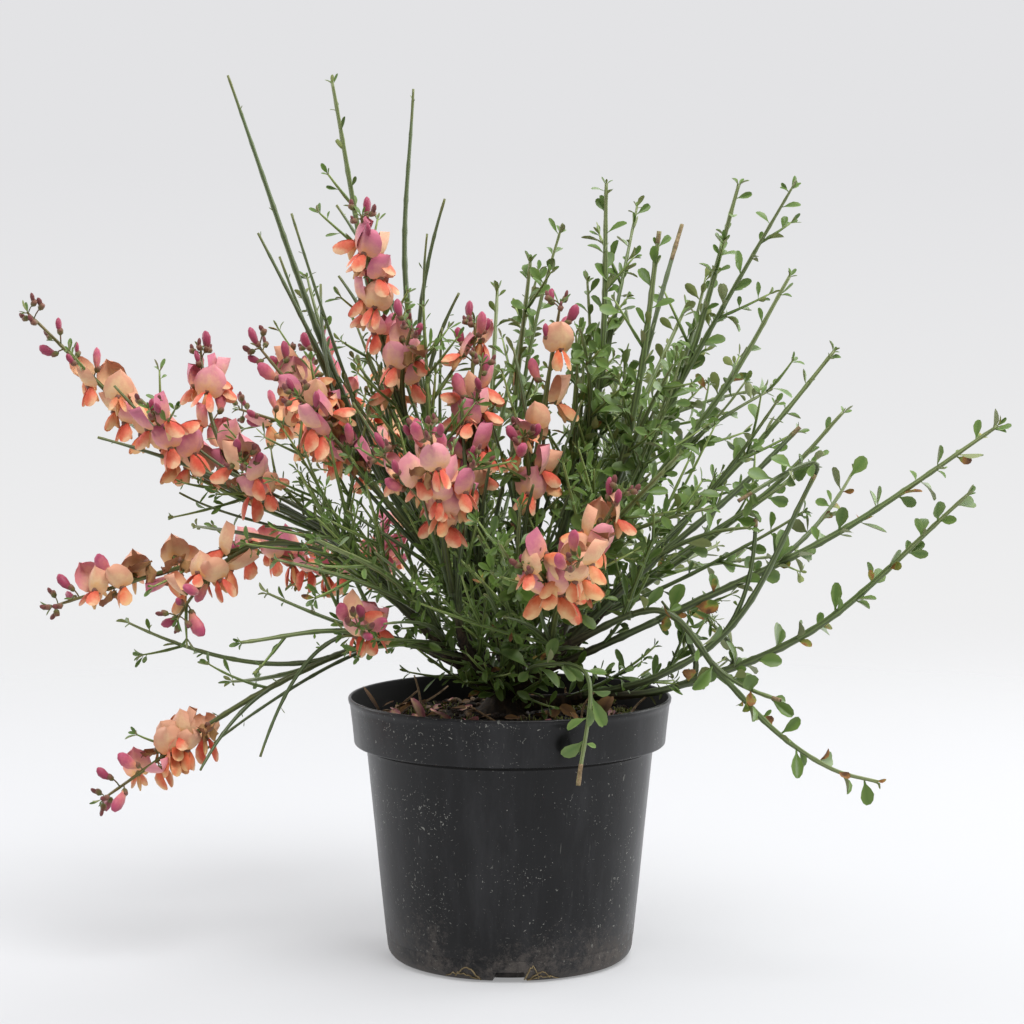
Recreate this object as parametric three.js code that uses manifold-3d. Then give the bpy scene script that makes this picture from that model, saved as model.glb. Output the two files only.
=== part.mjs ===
// A flowering scotch broom in its round nursery pot.
// Millimetres, +Z up. The origin is the middle of the pot's flat underside.
// +X is the side with green shoots, -Y is the side that the plant shows to the viewer.

import * as THREE from "three";
import { mergeVertices } from "three/addons/utils/BufferGeometryUtils.js";
import Module from "manifold-3d";

const wasm = await Module();
wasm.setup();

// Clearance between two pieces that touch, and the shortest edge that a join may leave.
const CLEAR = 0.3;
const SLIVER = 0.01;

// The pot: a thin moulded cup with a deep rim band and drain recesses round its foot.
const POT_HEIGHT = 155;
const RIM_RADIUS = 95;
const BAND_RADIUS = 91.6;
const BAND_HEIGHT = 27.5;
const NECK_RADIUS = 84.5;
const FOOT_RADIUS = 72.5;
const FOOT_ROUND = 8;
const WALL = 2;
const DRAINS = 4;
const DRAIN_WIDTH = 19;
const DRAIN_HEIGHT = 6.5;
const DRAIN_DEPTH = 14;
const DRAIN_HOLE = 3.5;
const POT_SIDES = 26;

// The potting soil: its level at the trunk, and how far it falls towards the wall.
const SOIL_LEVEL = 143;
const SOIL_FLAT = 26;
const SOIL_FALL = 4;
const SOIL_LUMPS = 58;
const SOIL_LUMP_HEIGHT = 2.4;

// The trunk: a short woody stock that leans a little and splits into arms.
const TRUNK_FOOT = [-4, 5, SOIL_LEVEL + CLEAR];
const TRUNK_TOP = [0, 4, 182];
const TRUNK_RADIUS = 10.5;
const TRUNK_TOP_RADIUS = 6.5;
const ROOT_FLARE = 6.5;
const FLARE_HEIGHT = 14;
const ARM_RADIUS = 5.6;
const ARM_TIP_RADIUS = 3.6;
const STUB_LENGTH = 13;

// Arms of the trunk: where each leaves the trunk, as a share of its height, and its tip.
const ARMS = {
  left: { leaves: 0.3, tip: [-46, 3, 190] },
  left_front: { leaves: 0.42, tip: [-27, -30, 190] },
  left_back: { leaves: 0.38, tip: [-26, 36, 192] },
  crown_left: { leaves: 0.8, tip: [-20, 8, 222] },
  crown_right: { leaves: 0.85, tip: [19, 5, 220] },
  right: { leaves: 0.34, tip: [46, 2, 194] },
  right_back: { leaves: 0.46, tip: [28, 36, 194] },
  right_front: { leaves: 0.3, tip: [27, -32, 186] },
  low_right: { leaves: 0.14, tip: [46, -6, 155] },
};

// Twigs are three-sided: their radius at the foot and at the tip.
const LIMB_SIDES = 5;
const TWIG_SIDES = 3;
const WHIP_TIP_RADIUS = 0.9;
const SHOOT_RADIUS = 1.15;
const SHOOT_TIP_RADIUS = 0.75;
const RING_STEP = 48;

// A turn of this many degrees between one bud on a twig and the next.
const BUD_TURN = 137.5;

// Leaves and buds, larger than life by a half, because they are fewer.
const LEAF = { length: 21, width: 10.5, thick: 1.8, widest: 0.6 };
const BUD = { length: 12, width: 5, thick: 4, widest: 0.6 };

// A blossom's right half, from its banner down: how far each point lies out from the twig,
// across and up. The left half mirrors it.
const BLOSSOM_SIDE = [
  [13, 9, 14],
  [11, 5, 0],
  [23, 9, -8],
];
const BLOSSOM_THROAT = [12, 0, 1];
const BLOSSOM_REACH = 20;
const BLOSSOM_RADIUS = 9;

// What grows on a twig: the spacing of leaves, blossoms and side shoots along it, in
// millimetres, the share of it that stays bare at its foot, and where blossoms end.
const DRESS = {
  rod: { leaf: 60, bloom: 0, shoot: 0, bare: 0.1, until: 0.4 },
  leafy: { leaf: 36, bloom: 0, shoot: 130, bare: 0.05, until: 0.98 },
  bloom: { leaf: 70, bloom: 26, shoot: 190, bare: 0.3, until: 0.95 },
};

// The crown. Each limb leaves an arm of the trunk at a share of it, follows its path, and is
// a bough for the first share of its length, then the stem of a mass. Each whip leaves that
// stem at a share of it, ends at a tip and has its own dress.
const CROWN = [
  {
    name: "far_left_bloom", arm: "left", share: 1, bough: 0.26, radius: 2.7, dress: "bloom",
    path: [[-105, -2, 250], [-190, 6, 292], [-283, 10, 380]],
    whips: [
      [0.03, [-239, -14, 308], "rod"],
      [0.42, [-228, 48, 312], "rod"],
      [0.3, [-206, -38, 326], "bloom"],
      [0.16, [-184, 36, 357], "bloom"],
      [0.12, [-152, -44, 296], "bloom"],
    ],
  },
  {
    name: "left_bloom", arm: "crown_left", share: 0.42, bough: 0.3, radius: 2.6, dress: "bloom",
    path: [[-68, -26, 268], [-145, -18, 361]],
    whips: [
      [0.25, [-112, 30, 396], "rod"],
      [0.2, [-119, -58, 334], "bloom"],
      [0.42, [-130, 14, 352], "bloom"],
    ],
  },
  {
    name: "arch_left_bloom", arm: "left", share: 0.78, bough: 0.28, radius: 2.4, dress: "bloom",
    path: [[-80, -22, 224], [-130, -20, 247], [-196, -14, 231], [-269, -5, 208]],
    whips: [
      [0.2, [-187, 30, 252], "leafy"],
      [0.3, [-190, -46, 206], "bloom"],
    ],
  },
  {
    name: "low_left_bloom", arm: "left", share: 0.55, bough: 0.3, radius: 2.5, dress: "bloom",
    path: [[-76, 20, 184], [-151, -12, 155], [-238, -25, 97]],
    whips: [
      [0.03, [-228, 30, 194], "leafy"],
      [0.1, [-167, 34, 158], "leafy"],
      [0.28, [-178, -44, 118], "rod"],
    ],
  },
  {
    name: "low_left_leafy", arm: "left_front", share: 0.7, bough: 0, radius: 1.9, dress: "leafy",
    path: [[-92, -40, 198], [-152, -66, 195]],
    whips: [
      [0.4, [-142, -62, 129], "rod"],
      [0.3, [-140, -30, 219], "leafy"],
      [0.2, [-84, -98, 208], "bloom"],
    ],
  },
  {
    name: "tall_rods_left", arm: "crown_left", share: 0.72, bough: 0.25, radius: 2.6, dress: "rod",
    path: [[-64, 12, 264], [-104, 14, 345], [-165, 20, 518]],
    whips: [
      [0.12, [-146, -4, 426], "rod"],
      [0.1, [-121, 44, 400], "leafy"],
    ],
  },
  {
    name: "tall_bloom_left", arm: "crown_left", share: 0.9, bough: 0.25, radius: 2.6, dress: "leafy",
    path: [[-46, -4, 280], [-76, -8, 370], [-102, -10, 512]],
    whips: [
      [0.14, [-84, -42, 436], "bloom"],
      [0.1, [-56, -42, 372], "bloom"],
      [0.26, [-100, 8, 401], "rod"],
    ],
  },
  {
    name: "tall_rods_centre", arm: "crown_left", share: 1, bough: 0.24, radius: 2.5, dress: "rod",
    path: [[-44, 28, 290], [-62, 34, 399], [-57, 36, 511]],
    whips: [
      [0.16, [-38, 12, 446], "rod"],
      [0.1, [-30, 24, 391], "rod"],
      [0.22, [-104, 58, 443], "rod"],
    ],
  },
  {
    name: "centre_bloom", arm: "crown_left", share: 0.62, bough: 0, radius: 2.2, dress: "bloom",
    path: [[-24, -22, 282], [-20, -8, 374]],
    whips: [
      [0.2, [-16, -36, 352], "bloom"],
    ],
  },
  {
    name: "front_left_bloom", arm: "left_front", share: 1, bough: 0.24, radius: 2.5, dress: "bloom",
    path: [[-36, -66, 246], [-43, -120, 318]],
    whips: [
      [0.25, [-70, -96, 303], "bloom"],
      [0.3, [-18, -104, 300], "bloom"],
      [0.1, [-48, -72, 316], "bloom"],
    ],
  },
  {
    name: "centre_right_bloom", arm: "crown_right", share: 0.3, bough: 0, radius: 2.3, dress: "bloom",
    path: [[14, -28, 286], [29, -32, 386]],
    whips: [
      [0.3, [8, -62, 312], "bloom"],
      [0.36, [2, -16, 360], "rod"],
    ],
  },
  {
    name: "front_right_bloom", arm: "right_front", share: 0.86, bough: 0.24, radius: 2.3, dress: "bloom",
    path: [[26, -84, 214], [38, -140, 250]],
    whips: [
      [0.06, [62, -104, 284], "bloom"],
      [0.35, [12, -124, 246], "bloom"],
    ],
  },
  {
    name: "first_upright_leafy", arm: "crown_right", share: 0.5, bough: 0, radius: 2.2, dress: "leafy",
    path: [[2, 28, 300], [12, 12, 409]],
    whips: [
      [0.2, [30, 46, 427], "leafy"],
    ],
  },
  {
    name: "second_upright_leafy", arm: "crown_right", share: 1, bough: 0.22, radius: 2.4, dress: "leafy",
    path: [[36, 2, 270], [53, 0, 345], [56, -2, 455]],
    whips: [
      [0.25, [76, 48, 442], "leafy"],
      [0.12, [40, -46, 372], "leafy"],
    ],
  },
  {
    name: "cut_upright_leafy", arm: "crown_right", share: 0.78, bough: 0.24, radius: 2.7, dress: "leafy",
    path: [[56, -14, 268], [74, -16, 335], [86, -18, 427]],
    whips: [
      [0.4, [101, 16, 431], "rod"],
      [0.15, [92, -62, 352], "leafy"],
    ],
  },
  {
    name: "tall_right_leafy", arm: "right", share: 0.5, bough: 0.24, radius: 2.7, dress: "leafy",
    path: [[62, 36, 262], [104, 32, 345], [135, 26, 455]],
    whips: [
      [0.18, [163, -8, 452], "leafy"],
      [0.28, [118, 60, 400], "leafy"],
    ],
  },
  {
    name: "leafy_right", arm: "right", share: 0.84, bough: 0.24, radius: 2.4, dress: "leafy",
    path: [[74, 26, 262], [128, 28, 335], [167, 42, 401]],
    whips: [
      [0.22, [155, 56, 331], "leafy"],
    ],
  },
  {
    name: "right_rod_leafy", arm: "right", share: 1, bough: 0.24, radius: 2.3, dress: "leafy",
    path: [[92, -20, 250], [150, -18, 312], [188, -12, 358]],
    whips: [
      [0.2, [150, -58, 330], "leafy"],
    ],
  },
  {
    name: "right_rods", arm: "right_back", share: 0.5, bough: 0.26, radius: 2.4, dress: "leafy",
    path: [[92, 34, 224], [156, 22, 276], [197, 18, 321]],
    whips: [
      [0.24, [188, 60, 292], "leafy"],
    ],
  },
  {
    name: "cut_right_rod", arm: "right_front", share: 0.66, bough: 0.28, radius: 2.6, dress: "rod",
    path: [[76, -36, 232], [130, -44, 280], [165, -46, 316]],
    whips: [
      [0.2, [134, -84, 262], "leafy"],
    ],
  },
  {
    name: "far_right_leafy", arm: "right_front", share: 0.5, bough: 0.26, radius: 2.4, dress: "leafy",
    path: [[98, -22, 208], [192, -20, 254], [282, -20, 315]],
    whips: [
      [0.24, [205, 30, 286], "leafy"],
    ],
  },
  {
    name: "low_right_leafy", arm: "low_right", share: 1, bough: 0.2, radius: 2.4, dress: "leafy",
    path: [[96, -8, 161], [180, -10, 197], [266, -15, 275]],
    whips: [
      [0.02, [90, 14, 209], "rod"],
      [0.14, [118, 30, 196], "leafy"],
    ],
  },
  {
    name: "broken_right", arm: "low_right", share: 0.72, bough: 0, radius: 2.3, dress: "rod",
    path: [[88, -34, 172], [133, -40, 208], [174, -46, 289]],
    whips: [
      [1, [129, -62, 275], "leafy"],
      [0.42, [142, -26, 262], "rod"],
    ],
  },
  {
    name: "hanging_right", arm: "right_front", share: 1, bough: 0.24, radius: 2.3, dress: "leafy",
    path: [[84, -70, 214], [124, -74, 178], [210, -75, 111]],
    whips: [
      [0.3, [150, -104, 168], "leafy"],
    ],
  },
  {
    name: "front_sprig", arm: "right_front", share: 0.32, bough: 0, radius: 1.8, dress: "leafy",
    path: [[16, -58, 181], [44, -88, 178], [38, -103, 120]],
    whips: [],
  },
  {
    name: "back_left_bloom", arm: "left_back", share: 1, bough: 0.24, radius: 2.5, dress: "bloom",
    path: [[-62, 86, 262], [-128, 158, 358]],
    whips: [
      [0.2, [-66, 168, 350], "bloom"],
      [0.15, [-168, 104, 318], "bloom"],
    ],
  },
  {
    name: "back_centre_leafy", arm: "left_back", share: 0.66, bough: 0, radius: 2.4, dress: "leafy",
    path: [[-14, 92, 276], [-8, 146, 392]],
    whips: [
      [0.3, [-36, 182, 330], "leafy"],
      [0.25, [18, 104, 404], "leafy"],
    ],
  },
  {
    name: "back_right_leafy", arm: "right_back", share: 1, bough: 0.24, radius: 2.5, dress: "leafy",
    path: [[56, 86, 266], [112, 146, 382]],
    whips: [
      [0.2, [62, 176, 344], "leafy"],
      [0.3, [158, 118, 330], "leafy"],
    ],
  },
  {
    name: "back_low_left", arm: "left", share: 0.34, bough: 0.26, radius: 2.3, dress: "leafy",
    path: [[-74, 90, 206], [-140, 172, 226]],
    whips: [
      [0.3, [-60, 196, 238], "bloom"],
      [0.2, [-176, 110, 232], "bloom"],
    ],
  },
  {
    name: "back_low_right", arm: "right_back", share: 0.7, bough: 0.26, radius: 2.3, dress: "leafy",
    path: [[72, 92, 208], [134, 176, 226]],
    whips: [
      [0.3, [56, 198, 246], "leafy"],
      [0.2, [184, 120, 226], "leafy"],
    ],
  },
  {
    name: "front_centre_leafy", arm: "right_front", share: 0.22, bough: 0, radius: 2, dress: "leafy",
    path: [[2, -80, 232], [-6, -160, 262]],
    whips: [
      [0.3, [6, -96, 276], "leafy"],
    ],
  },
  {
    name: "front_left_leafy", arm: "left", share: 0.55, bough: 0, radius: 2.2, dress: "leafy",
    path: [[-62, -80, 230], [-104, -146, 262]],
    whips: [
      [0.2, [-128, -104, 246], "leafy"],
    ],
  },
  {
    name: "front_right_leafy", arm: "crown_right", share: 0.1, bough: 0, radius: 2.2, dress: "leafy",
    path: [[54, -58, 256], [92, -128, 306]],
    whips: [
      [0.3, [112, -96, 274], "leafy"],
    ],
  },
];

const COLOURS = {
  pot: "#303034",
  soil: "#33271f",
  wood: "#4b3a2c",
  bough: "#56654a",
  rod: "#5d7355",
  leafy: "#4f7d45",
  bloom: "#e08a7a",
};

const vector = (p) => new THREE.Vector3(...p);

// Numbers from 0 to 1 that are the same each time for one seed.
function dice(seed) {
  let state = seed;
  return () => {
    state = (state + 0x6d2b79f5) | 0;
    let t = Math.imul(state ^ (state >>> 15), 1 | state);
    t = (t + Math.imul(t ^ (t >>> 7), 61 | t)) ^ t;
    return ((t ^ (t >>> 14)) >>> 0) / 4294967296;
  };
}

// A closed geometry as a solid.
function solid(geometry) {
  geometry.deleteAttribute("normal");
  geometry.deleteAttribute("uv");
  const merged = mergeVertices(geometry, 1e-4);
  return new wasm.Manifold(
    new wasm.Mesh({
      numProp: 3,
      vertProperties: merged.attributes.position.array,
      triVerts: Uint32Array.from(merged.index.array),
    }),
  );
}

// All the solids of a list as one.
function joined(solids) {
  return solids.reduce((whole, next) => whole.add(next));
}

// The largest body of a solid, with any hollow that joining sealed in it filled, and with
// slivers shorter than the tolerance closed up.
function whole(made) {
  const bodies = made.setTolerance(SLIVER).decompose().filter((body) => body.volume() > 0);
  return bodies.reduce((best, body) => (body.volume() > best.volume() ? body : best));
}

function meshOf(name, made, colour, roughness) {
  const { vertProperties, triVerts } = whole(made).getMesh();
  const geometry = new THREE.BufferGeometry();
  geometry.setAttribute("position", new THREE.BufferAttribute(vertProperties, 3));
  geometry.setIndex(new THREE.BufferAttribute(triVerts, 1));
  geometry.computeVertexNormals();
  const material = new THREE.MeshStandardMaterial({ color: colour, roughness, metalness: 0 });
  const mesh = new THREE.Mesh(geometry, material);
  mesh.name = name;
  return mesh;
}

// A profile of radius and height turned about Z.
function turned(profile) {
  const points = profile.map(([radius, height]) => new THREE.Vector2(radius, height));
  return new THREE.LatheGeometry(points, POT_SIDES).rotateX(Math.PI / 2);
}

// A box of the given size at a radius, height and angle round the pot.
function boxAt(size, radius, height, angle) {
  const box = new THREE.BoxGeometry(...size).translate(radius, 0, height);
  return solid(box.rotateZ(angle));
}

// A stretch of a curve, between two lengths along it, as a curve of its own.
class Stretch extends THREE.Curve {
  constructor(base, from, to) {
    super();
    const length = base.getLength();
    this.base = base;
    this.from = from / length;
    this.to = Math.min(1, to / length);
  }

  getPoint(share, target) {
    return this.base.getPointAt(this.from + (this.to - this.from) * share, target);
  }
}

const stretch = (curve, from, to) => new Stretch(curve, from, to);

// A tapering limb: a cylinder whose rings are laid along a curve, square to it.
function limb(curve, radiusAt, sides, rings) {
  const geometry = new THREE.CylinderGeometry(1, 1, 1, sides, rings);
  const frames = curve.computeFrenetFrames(rings);
  const place = geometry.attributes.position;
  for (let i = 0; i < place.count; i++) {
    const ring = Math.round((place.getY(i) + 0.5) * rings);
    const radius = radiusAt(ring / rings);
    const point = curve
      .getPointAt(ring / rings)
      .addScaledVector(frames.binormals[ring], place.getX(i) * radius)
      .addScaledVector(frames.normals[ring], place.getZ(i) * radius);
    place.setXYZ(i, point.x, point.y, point.z);
  }
  return solid(geometry);
}

const taper = (foot, tip) => (share) => foot + (tip - foot) * share;

const ringsOf = (curve) => Math.max(2, Math.round(curve.getLength() / RING_STEP));

// A twig's chords from ring to ring: the line that its faceted solid is centred on.
function chordsOf(curve) {
  const path = new THREE.CurvePath();
  const points = curve.getSpacedPoints(ringsOf(curve));
  points.slice(1).forEach((point, i) => path.add(new THREE.LineCurve3(points[i], point)));
  return path;
}

// A three-sided twig, and the chords that what grows on it starts from.
function twigOf(curve, foot, tip, dress) {
  const made = limb(curve, taper(foot, tip), TWIG_SIDES, ringsOf(curve));
  return { made, chords: chordsOf(curve), dress };
}

// A closed shape of two fans: each joins an apex to a ring of points, which runs
// anticlockwise when it is seen from the front apex.
function spindle(back, front, ring) {
  const points = [back, front, ...ring];
  const geometry = new THREE.BufferGeometry().setFromPoints(points);
  const faces = [];
  for (let i = 0; i < ring.length; i++) {
    const here = 2 + i;
    const next = 2 + ((i + 1) % ring.length);
    faces.push(0, next, here, 1, here, next);
  }
  geometry.setIndex(faces);
  return solid(geometry);
}

// A thin blade with its root at a point: a flat kite with a keel under it, four faces in all.
function blade(root, along, face, size, scale) {
  const side = new THREE.Vector3().crossVectors(along, face).normalize();
  const up = new THREE.Vector3().crossVectors(side, along).normalize();
  const middle = root.clone().addScaledVector(along, size.length * size.widest * scale);
  middle.addScaledVector(up, size.thick * scale);
  const tip = root.clone().addScaledVector(along, size.length * scale);
  const right = middle.clone().addScaledVector(side, (size.width * scale) / 2);
  const left = middle.clone().addScaledVector(side, (-size.width * scale) / 2);
  const geometry = new THREE.BufferGeometry().setFromPoints([root, right, tip, left]);
  geometry.setIndex([0, 1, 3, 1, 2, 3, 0, 2, 1, 0, 3, 2]);
  return solid(geometry);
}

// Space that is taken, as rods with round ends, each owned by one node.
const taken = [];

function take(start, end, radius, owner) {
  taken.push({ line: new THREE.Line3(start, end), radius, owner });
}

function clearOfPot(point, radius) {
  const out = Math.hypot(point.x, point.y);
  const inside = RIM_RADIUS - WALL - 3;
  if (out + radius < inside) return point.z - radius > SOIL_LEVEL + 1.5;
  if (out - radius > RIM_RADIUS + 1.5) return point.z - radius > 6;
  return point.z - radius > POT_HEIGHT + 1.5;
}

// True if a rod with round ends touches neither the pot nor what another node holds.
function isFree(start, end, radius, owner) {
  const line = new THREE.Line3(start, end);
  const middle = line.getCenter(new THREE.Vector3());
  if (![start, middle, end].every((point) => clearOfPot(point, radius))) return false;
  return taken.every((rod) => {
    if (rod.owner === owner) return true;
    const near = radius + rod.radius + CLEAR;
    return line.distanceSqToLine3(rod.line) > near * near;
  });
}

function takeCurve(curve, radius, owner) {
  const steps = Math.max(2, Math.ceil(curve.getLength() / 12));
  const points = curve.getSpacedPoints(steps);
  for (let i = 0; i < steps; i++) take(points[i], points[i + 1], radius, owner);
}

function curveIsFree(curve, radius, owner) {
  const steps = Math.max(2, Math.ceil(curve.getLength() / 12));
  const points = curve.getSpacedPoints(steps);
  return points.slice(1).every((point, i) => isFree(points[i], point, radius, owner));
}

// The pot, open at the top, with its drain recesses and their holes.
function pot() {
  const bandFoot = POT_HEIGHT - BAND_HEIGHT;
  const outer = turned([
    [0, 0],
    [FOOT_RADIUS - FOOT_ROUND, 0],
    [FOOT_RADIUS, FOOT_ROUND],
    [NECK_RADIUS, bandFoot - 2.5],
    [BAND_RADIUS, bandFoot],
    [RIM_RADIUS, POT_HEIGHT - 1],
    [RIM_RADIUS - 0.6, POT_HEIGHT],
    [0, POT_HEIGHT],
  ]);
  const inner = turned([
    [0, WALL],
    [FOOT_RADIUS - FOOT_ROUND - WALL, WALL],
    [FOOT_RADIUS - WALL, FOOT_ROUND + WALL],
    [NECK_RADIUS - WALL, bandFoot - 2.5],
    [BAND_RADIUS - WALL, bandFoot + 1.5],
    [RIM_RADIUS - WALL, POT_HEIGHT - 1],
    [RIM_RADIUS - WALL, POT_HEIGHT + 5],
    [0, POT_HEIGHT + 5],
  ]);
  const hollow = solid(inner);
  return solid(outer).subtract(hollow.subtract(drains(WALL))).subtract(drains(0)).subtract(drainHoles());
}

const drainAngle = (i) => -Math.PI / 2 + (2 * Math.PI * i) / DRAINS;
const drainRadius = FOOT_RADIUS - DRAIN_DEPTH / 2 + 2;

// The drain recesses, grown by a wall's thickness where their own walls are wanted.
function drains(grown) {
  const size = [DRAIN_DEPTH + 2 * grown, DRAIN_WIDTH + 2 * grown, 2 * (DRAIN_HEIGHT + grown)];
  const recesses = [];
  for (let i = 0; i < DRAINS; i++) recesses.push(boxAt(size, drainRadius, 0, drainAngle(i)));
  return joined(recesses);
}

function drainHoles() {
  const holes = [];
  for (let i = 0; i < DRAINS; i++) {
    const bore = new THREE.CylinderGeometry(DRAIN_HOLE, DRAIN_HOLE, 4 * WALL, 8);
    bore.rotateX(Math.PI / 2).translate(drainRadius - DRAIN_HOLE, 0, DRAIN_HEIGHT + WALL / 2);
    holes.push(solid(bore.rotateZ(drainAngle(i))));
  }
  return joined(holes);
}

// The soil fills the pot to below the rim. It is level under the trunk and lumpy round it.
function soil() {
  const bandFoot = POT_HEIGHT - BAND_HEIGHT;
  const gap = WALL + CLEAR;
  const edge = SOIL_LEVEL - SOIL_FALL;
  const wallSlope = (RIM_RADIUS - BAND_RADIUS) / BAND_HEIGHT;
  const edgeRadius = BAND_RADIUS - gap - 0.2 + (edge - bandFoot) * wallSlope;
  const fill = turned([
    [0, gap],
    [FOOT_RADIUS - FOOT_ROUND - gap, gap],
    [FOOT_RADIUS - gap, FOOT_ROUND + gap],
    [NECK_RADIUS - gap, bandFoot - 2.5],
    [BAND_RADIUS - gap - 0.2, bandFoot + 1.5],
    [edgeRadius, edge],
    [SOIL_LUMPS, SOIL_LEVEL - 1.5],
    [SOIL_FLAT, SOIL_LEVEL],
    [0, SOIL_LEVEL],
  ]);
  const place = fill.attributes.position;
  for (let i = 0; i < place.count; i++) {
    const [x, y] = [place.getX(i), place.getY(i)];
    if (Math.abs(Math.hypot(x, y) - SOIL_LUMPS) > 1) continue;
    place.setZ(i, place.getZ(i) + SOIL_LUMP_HEIGHT * Math.sin(0.13 * x + 1) * Math.cos(0.11 * y));
  }
  return solid(fill).subtract(drains(gap));
}

const trunkLine = new THREE.LineCurve3(vector(TRUNK_FOOT), vector(TRUNK_TOP));

// An arm bows outwards a little on its way from the trunk to its tip.
function armCurve({ leaves, tip }) {
  const foot = trunkLine.getPoint(leaves);
  const end = vector(tip);
  const knee = new THREE.Vector3(end.x * 0.62, foot.y + (end.y - foot.y) * 0.62, 0);
  knee.z = foot.z + (end.z - foot.z) * 0.42;
  return new THREE.QuadraticBezierCurve3(foot, knee, end);
}

function limbCurve({ arm, share, path }) {
  const foot = armCurve(ARMS[arm]).getPoint(share);
  return new THREE.CatmullRomCurve3([foot, ...path.map(vector)], false, "catmullrom", 0.5);
}

// The trunk from its flat cut on the soil, with its root flare, its arms and their stubs.
function trunk(limbs) {
  const height = trunkLine.getLength();
  const flare = (share) => {
    const left = Math.max(0, 1 - (share * height) / FLARE_HEIGHT);
    return taper(TRUNK_RADIUS, TRUNK_TOP_RADIUS)(share) + ROOT_FLARE * left * left;
  };
  const stock = limb(trunkLine, flare, 9, 4);
  const cut = new THREE.BoxGeometry(80, 80, 20).translate(0, 0, TRUNK_FOOT[2] - 10);
  const arms = Object.values(ARMS).map((arm) =>
    limb(armCurve(arm), taper(ARM_RADIUS, ARM_TIP_RADIUS), LIMB_SIDES, 2),
  );
  const stubs = limbs.map(({ curve, radius }) =>
    limb(stretch(curve, 0, STUB_LENGTH), taper(radius * 1.15, radius), LIMB_SIDES, 1),
  );
  return joined([stock, ...arms, ...stubs]).subtract(solid(cut));
}

// Where a bough ends and its mass begins, as a length along the limb.
function boughEnd({ curve, bough }) {
  return bough ? Math.max(STUB_LENGTH + 14, curve.getLength() * bough) : STUB_LENGTH;
}

// A limb's radius at a length along it.
function limbRadius({ curve, radius }, length) {
  return taper(radius, WHIP_TIP_RADIUS)(length / curve.getLength());
}

function boughOf(limbOf) {
  const start = STUB_LENGTH + CLEAR;
  const end = boughEnd(limbOf);
  const curve = stretch(limbOf.curve, start, end);
  const radii = taper(limbOf.radius, limbRadius(limbOf, end));
  return { curve, made: limb(curve, radii, LIMB_SIDES, Math.max(2, Math.round((end - start) / 30))) };
}

// A whip leaves its stem along it and ends at its tip.
function whipCurve(stem, [share, tip]) {
  const foot = stem.getPointAt(share);
  const end = vector(tip);
  const knee = stem.getTangentAt(share).multiplyScalar(foot.distanceTo(end) * 0.42).add(foot);
  return new THREE.QuadraticBezierCurve3(foot, knee, end);
}

// A side shoot leaves a twig at a length along it, leans out and curves towards the sky.
function shootCurve(curve, share, turn, length) {
  const foot = curve.getPointAt(share);
  const along = curve.getTangentAt(share);
  const out = sideways(along, turn);
  const knee = foot.clone().addScaledVector(along, length * 0.35).addScaledVector(out, length * 0.3);
  const end = knee.clone().addScaledVector(along, length * 0.3).addScaledVector(out, length * 0.34);
  end.z += length * 0.12;
  return new THREE.QuadraticBezierCurve3(foot, knee, end);
}

// A direction square to a stem, turned about it.
function sideways(along, turn) {
  const up = Math.abs(along.z) > 0.9 ? new THREE.Vector3(0, 1, 0) : new THREE.Vector3(0, 0, 1);
  const side = new THREE.Vector3().crossVectors(along, up).normalize();
  return side.applyAxisAngle(along, THREE.MathUtils.degToRad(turn));
}

// A leaf leans out from its twig, with its face to the twig's tip.
function leafOn(curve, share, turn, scale, owner) {
  const root = curve.getPointAt(share);
  const along = curve.getTangentAt(share);
  const out = sideways(along, turn);
  const reach = out.clone().multiplyScalar(0.8).addScaledVector(along, 0.6).normalize();
  const tip = root.clone().addScaledVector(reach, LEAF.length * scale);
  if (!isFree(root, tip, (LEAF.width * scale) / 2, owner)) return null;
  take(root, tip, (LEAF.width * scale) / 2, owner);
  return blade(root, reach, along, LEAF, scale);
}

// A blossom: an upright banner of two lobes, with two wings that spread below it.
function blossomOn(curve, share, turn, scale, owner) {
  const root = curve.getPointAt(share);
  const along = curve.getTangentAt(share);
  const out = sideways(along, turn);
  out.z = Math.abs(out.z) * 0.4 + 0.1;
  out.normalize();
  const across = new THREE.Vector3(-out.y, out.x, 0).normalize();
  const rise = new THREE.Vector3().crossVectors(out, across);
  const at = ([reach, aside, up], side = 1) =>
    root
      .clone()
      .addScaledVector(out, reach * scale)
      .addScaledVector(across, aside * side * scale)
      .addScaledVector(rise, up * scale);
  const tip = at([BLOSSOM_REACH, 0, 0]);
  if (!isFree(root, tip, BLOSSOM_RADIUS * scale, owner)) return null;
  take(root, tip, BLOSSOM_RADIUS * scale, owner);
  const left = BLOSSOM_SIDE.map((point) => at(point, -1));
  const right = BLOSSOM_SIDE.map((point) => at(point, 1)).reverse();
  return spindle(root, at(BLOSSOM_THROAT), [...left, ...right]);
}

function budOn(curve, share, turn, scale, owner) {
  const root = curve.getPointAt(share);
  const along = curve.getTangentAt(share);
  const reach = sideways(along, turn).addScaledVector(along, 0.8).normalize();
  const tip = root.clone().addScaledVector(reach, BUD.length * scale);
  if (!isFree(root, tip, (BUD.width * scale) / 2, owner)) return null;
  take(root, tip, (BUD.width * scale) / 2, owner);
  return blade(root, reach, along, BUD, scale);
}

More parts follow.
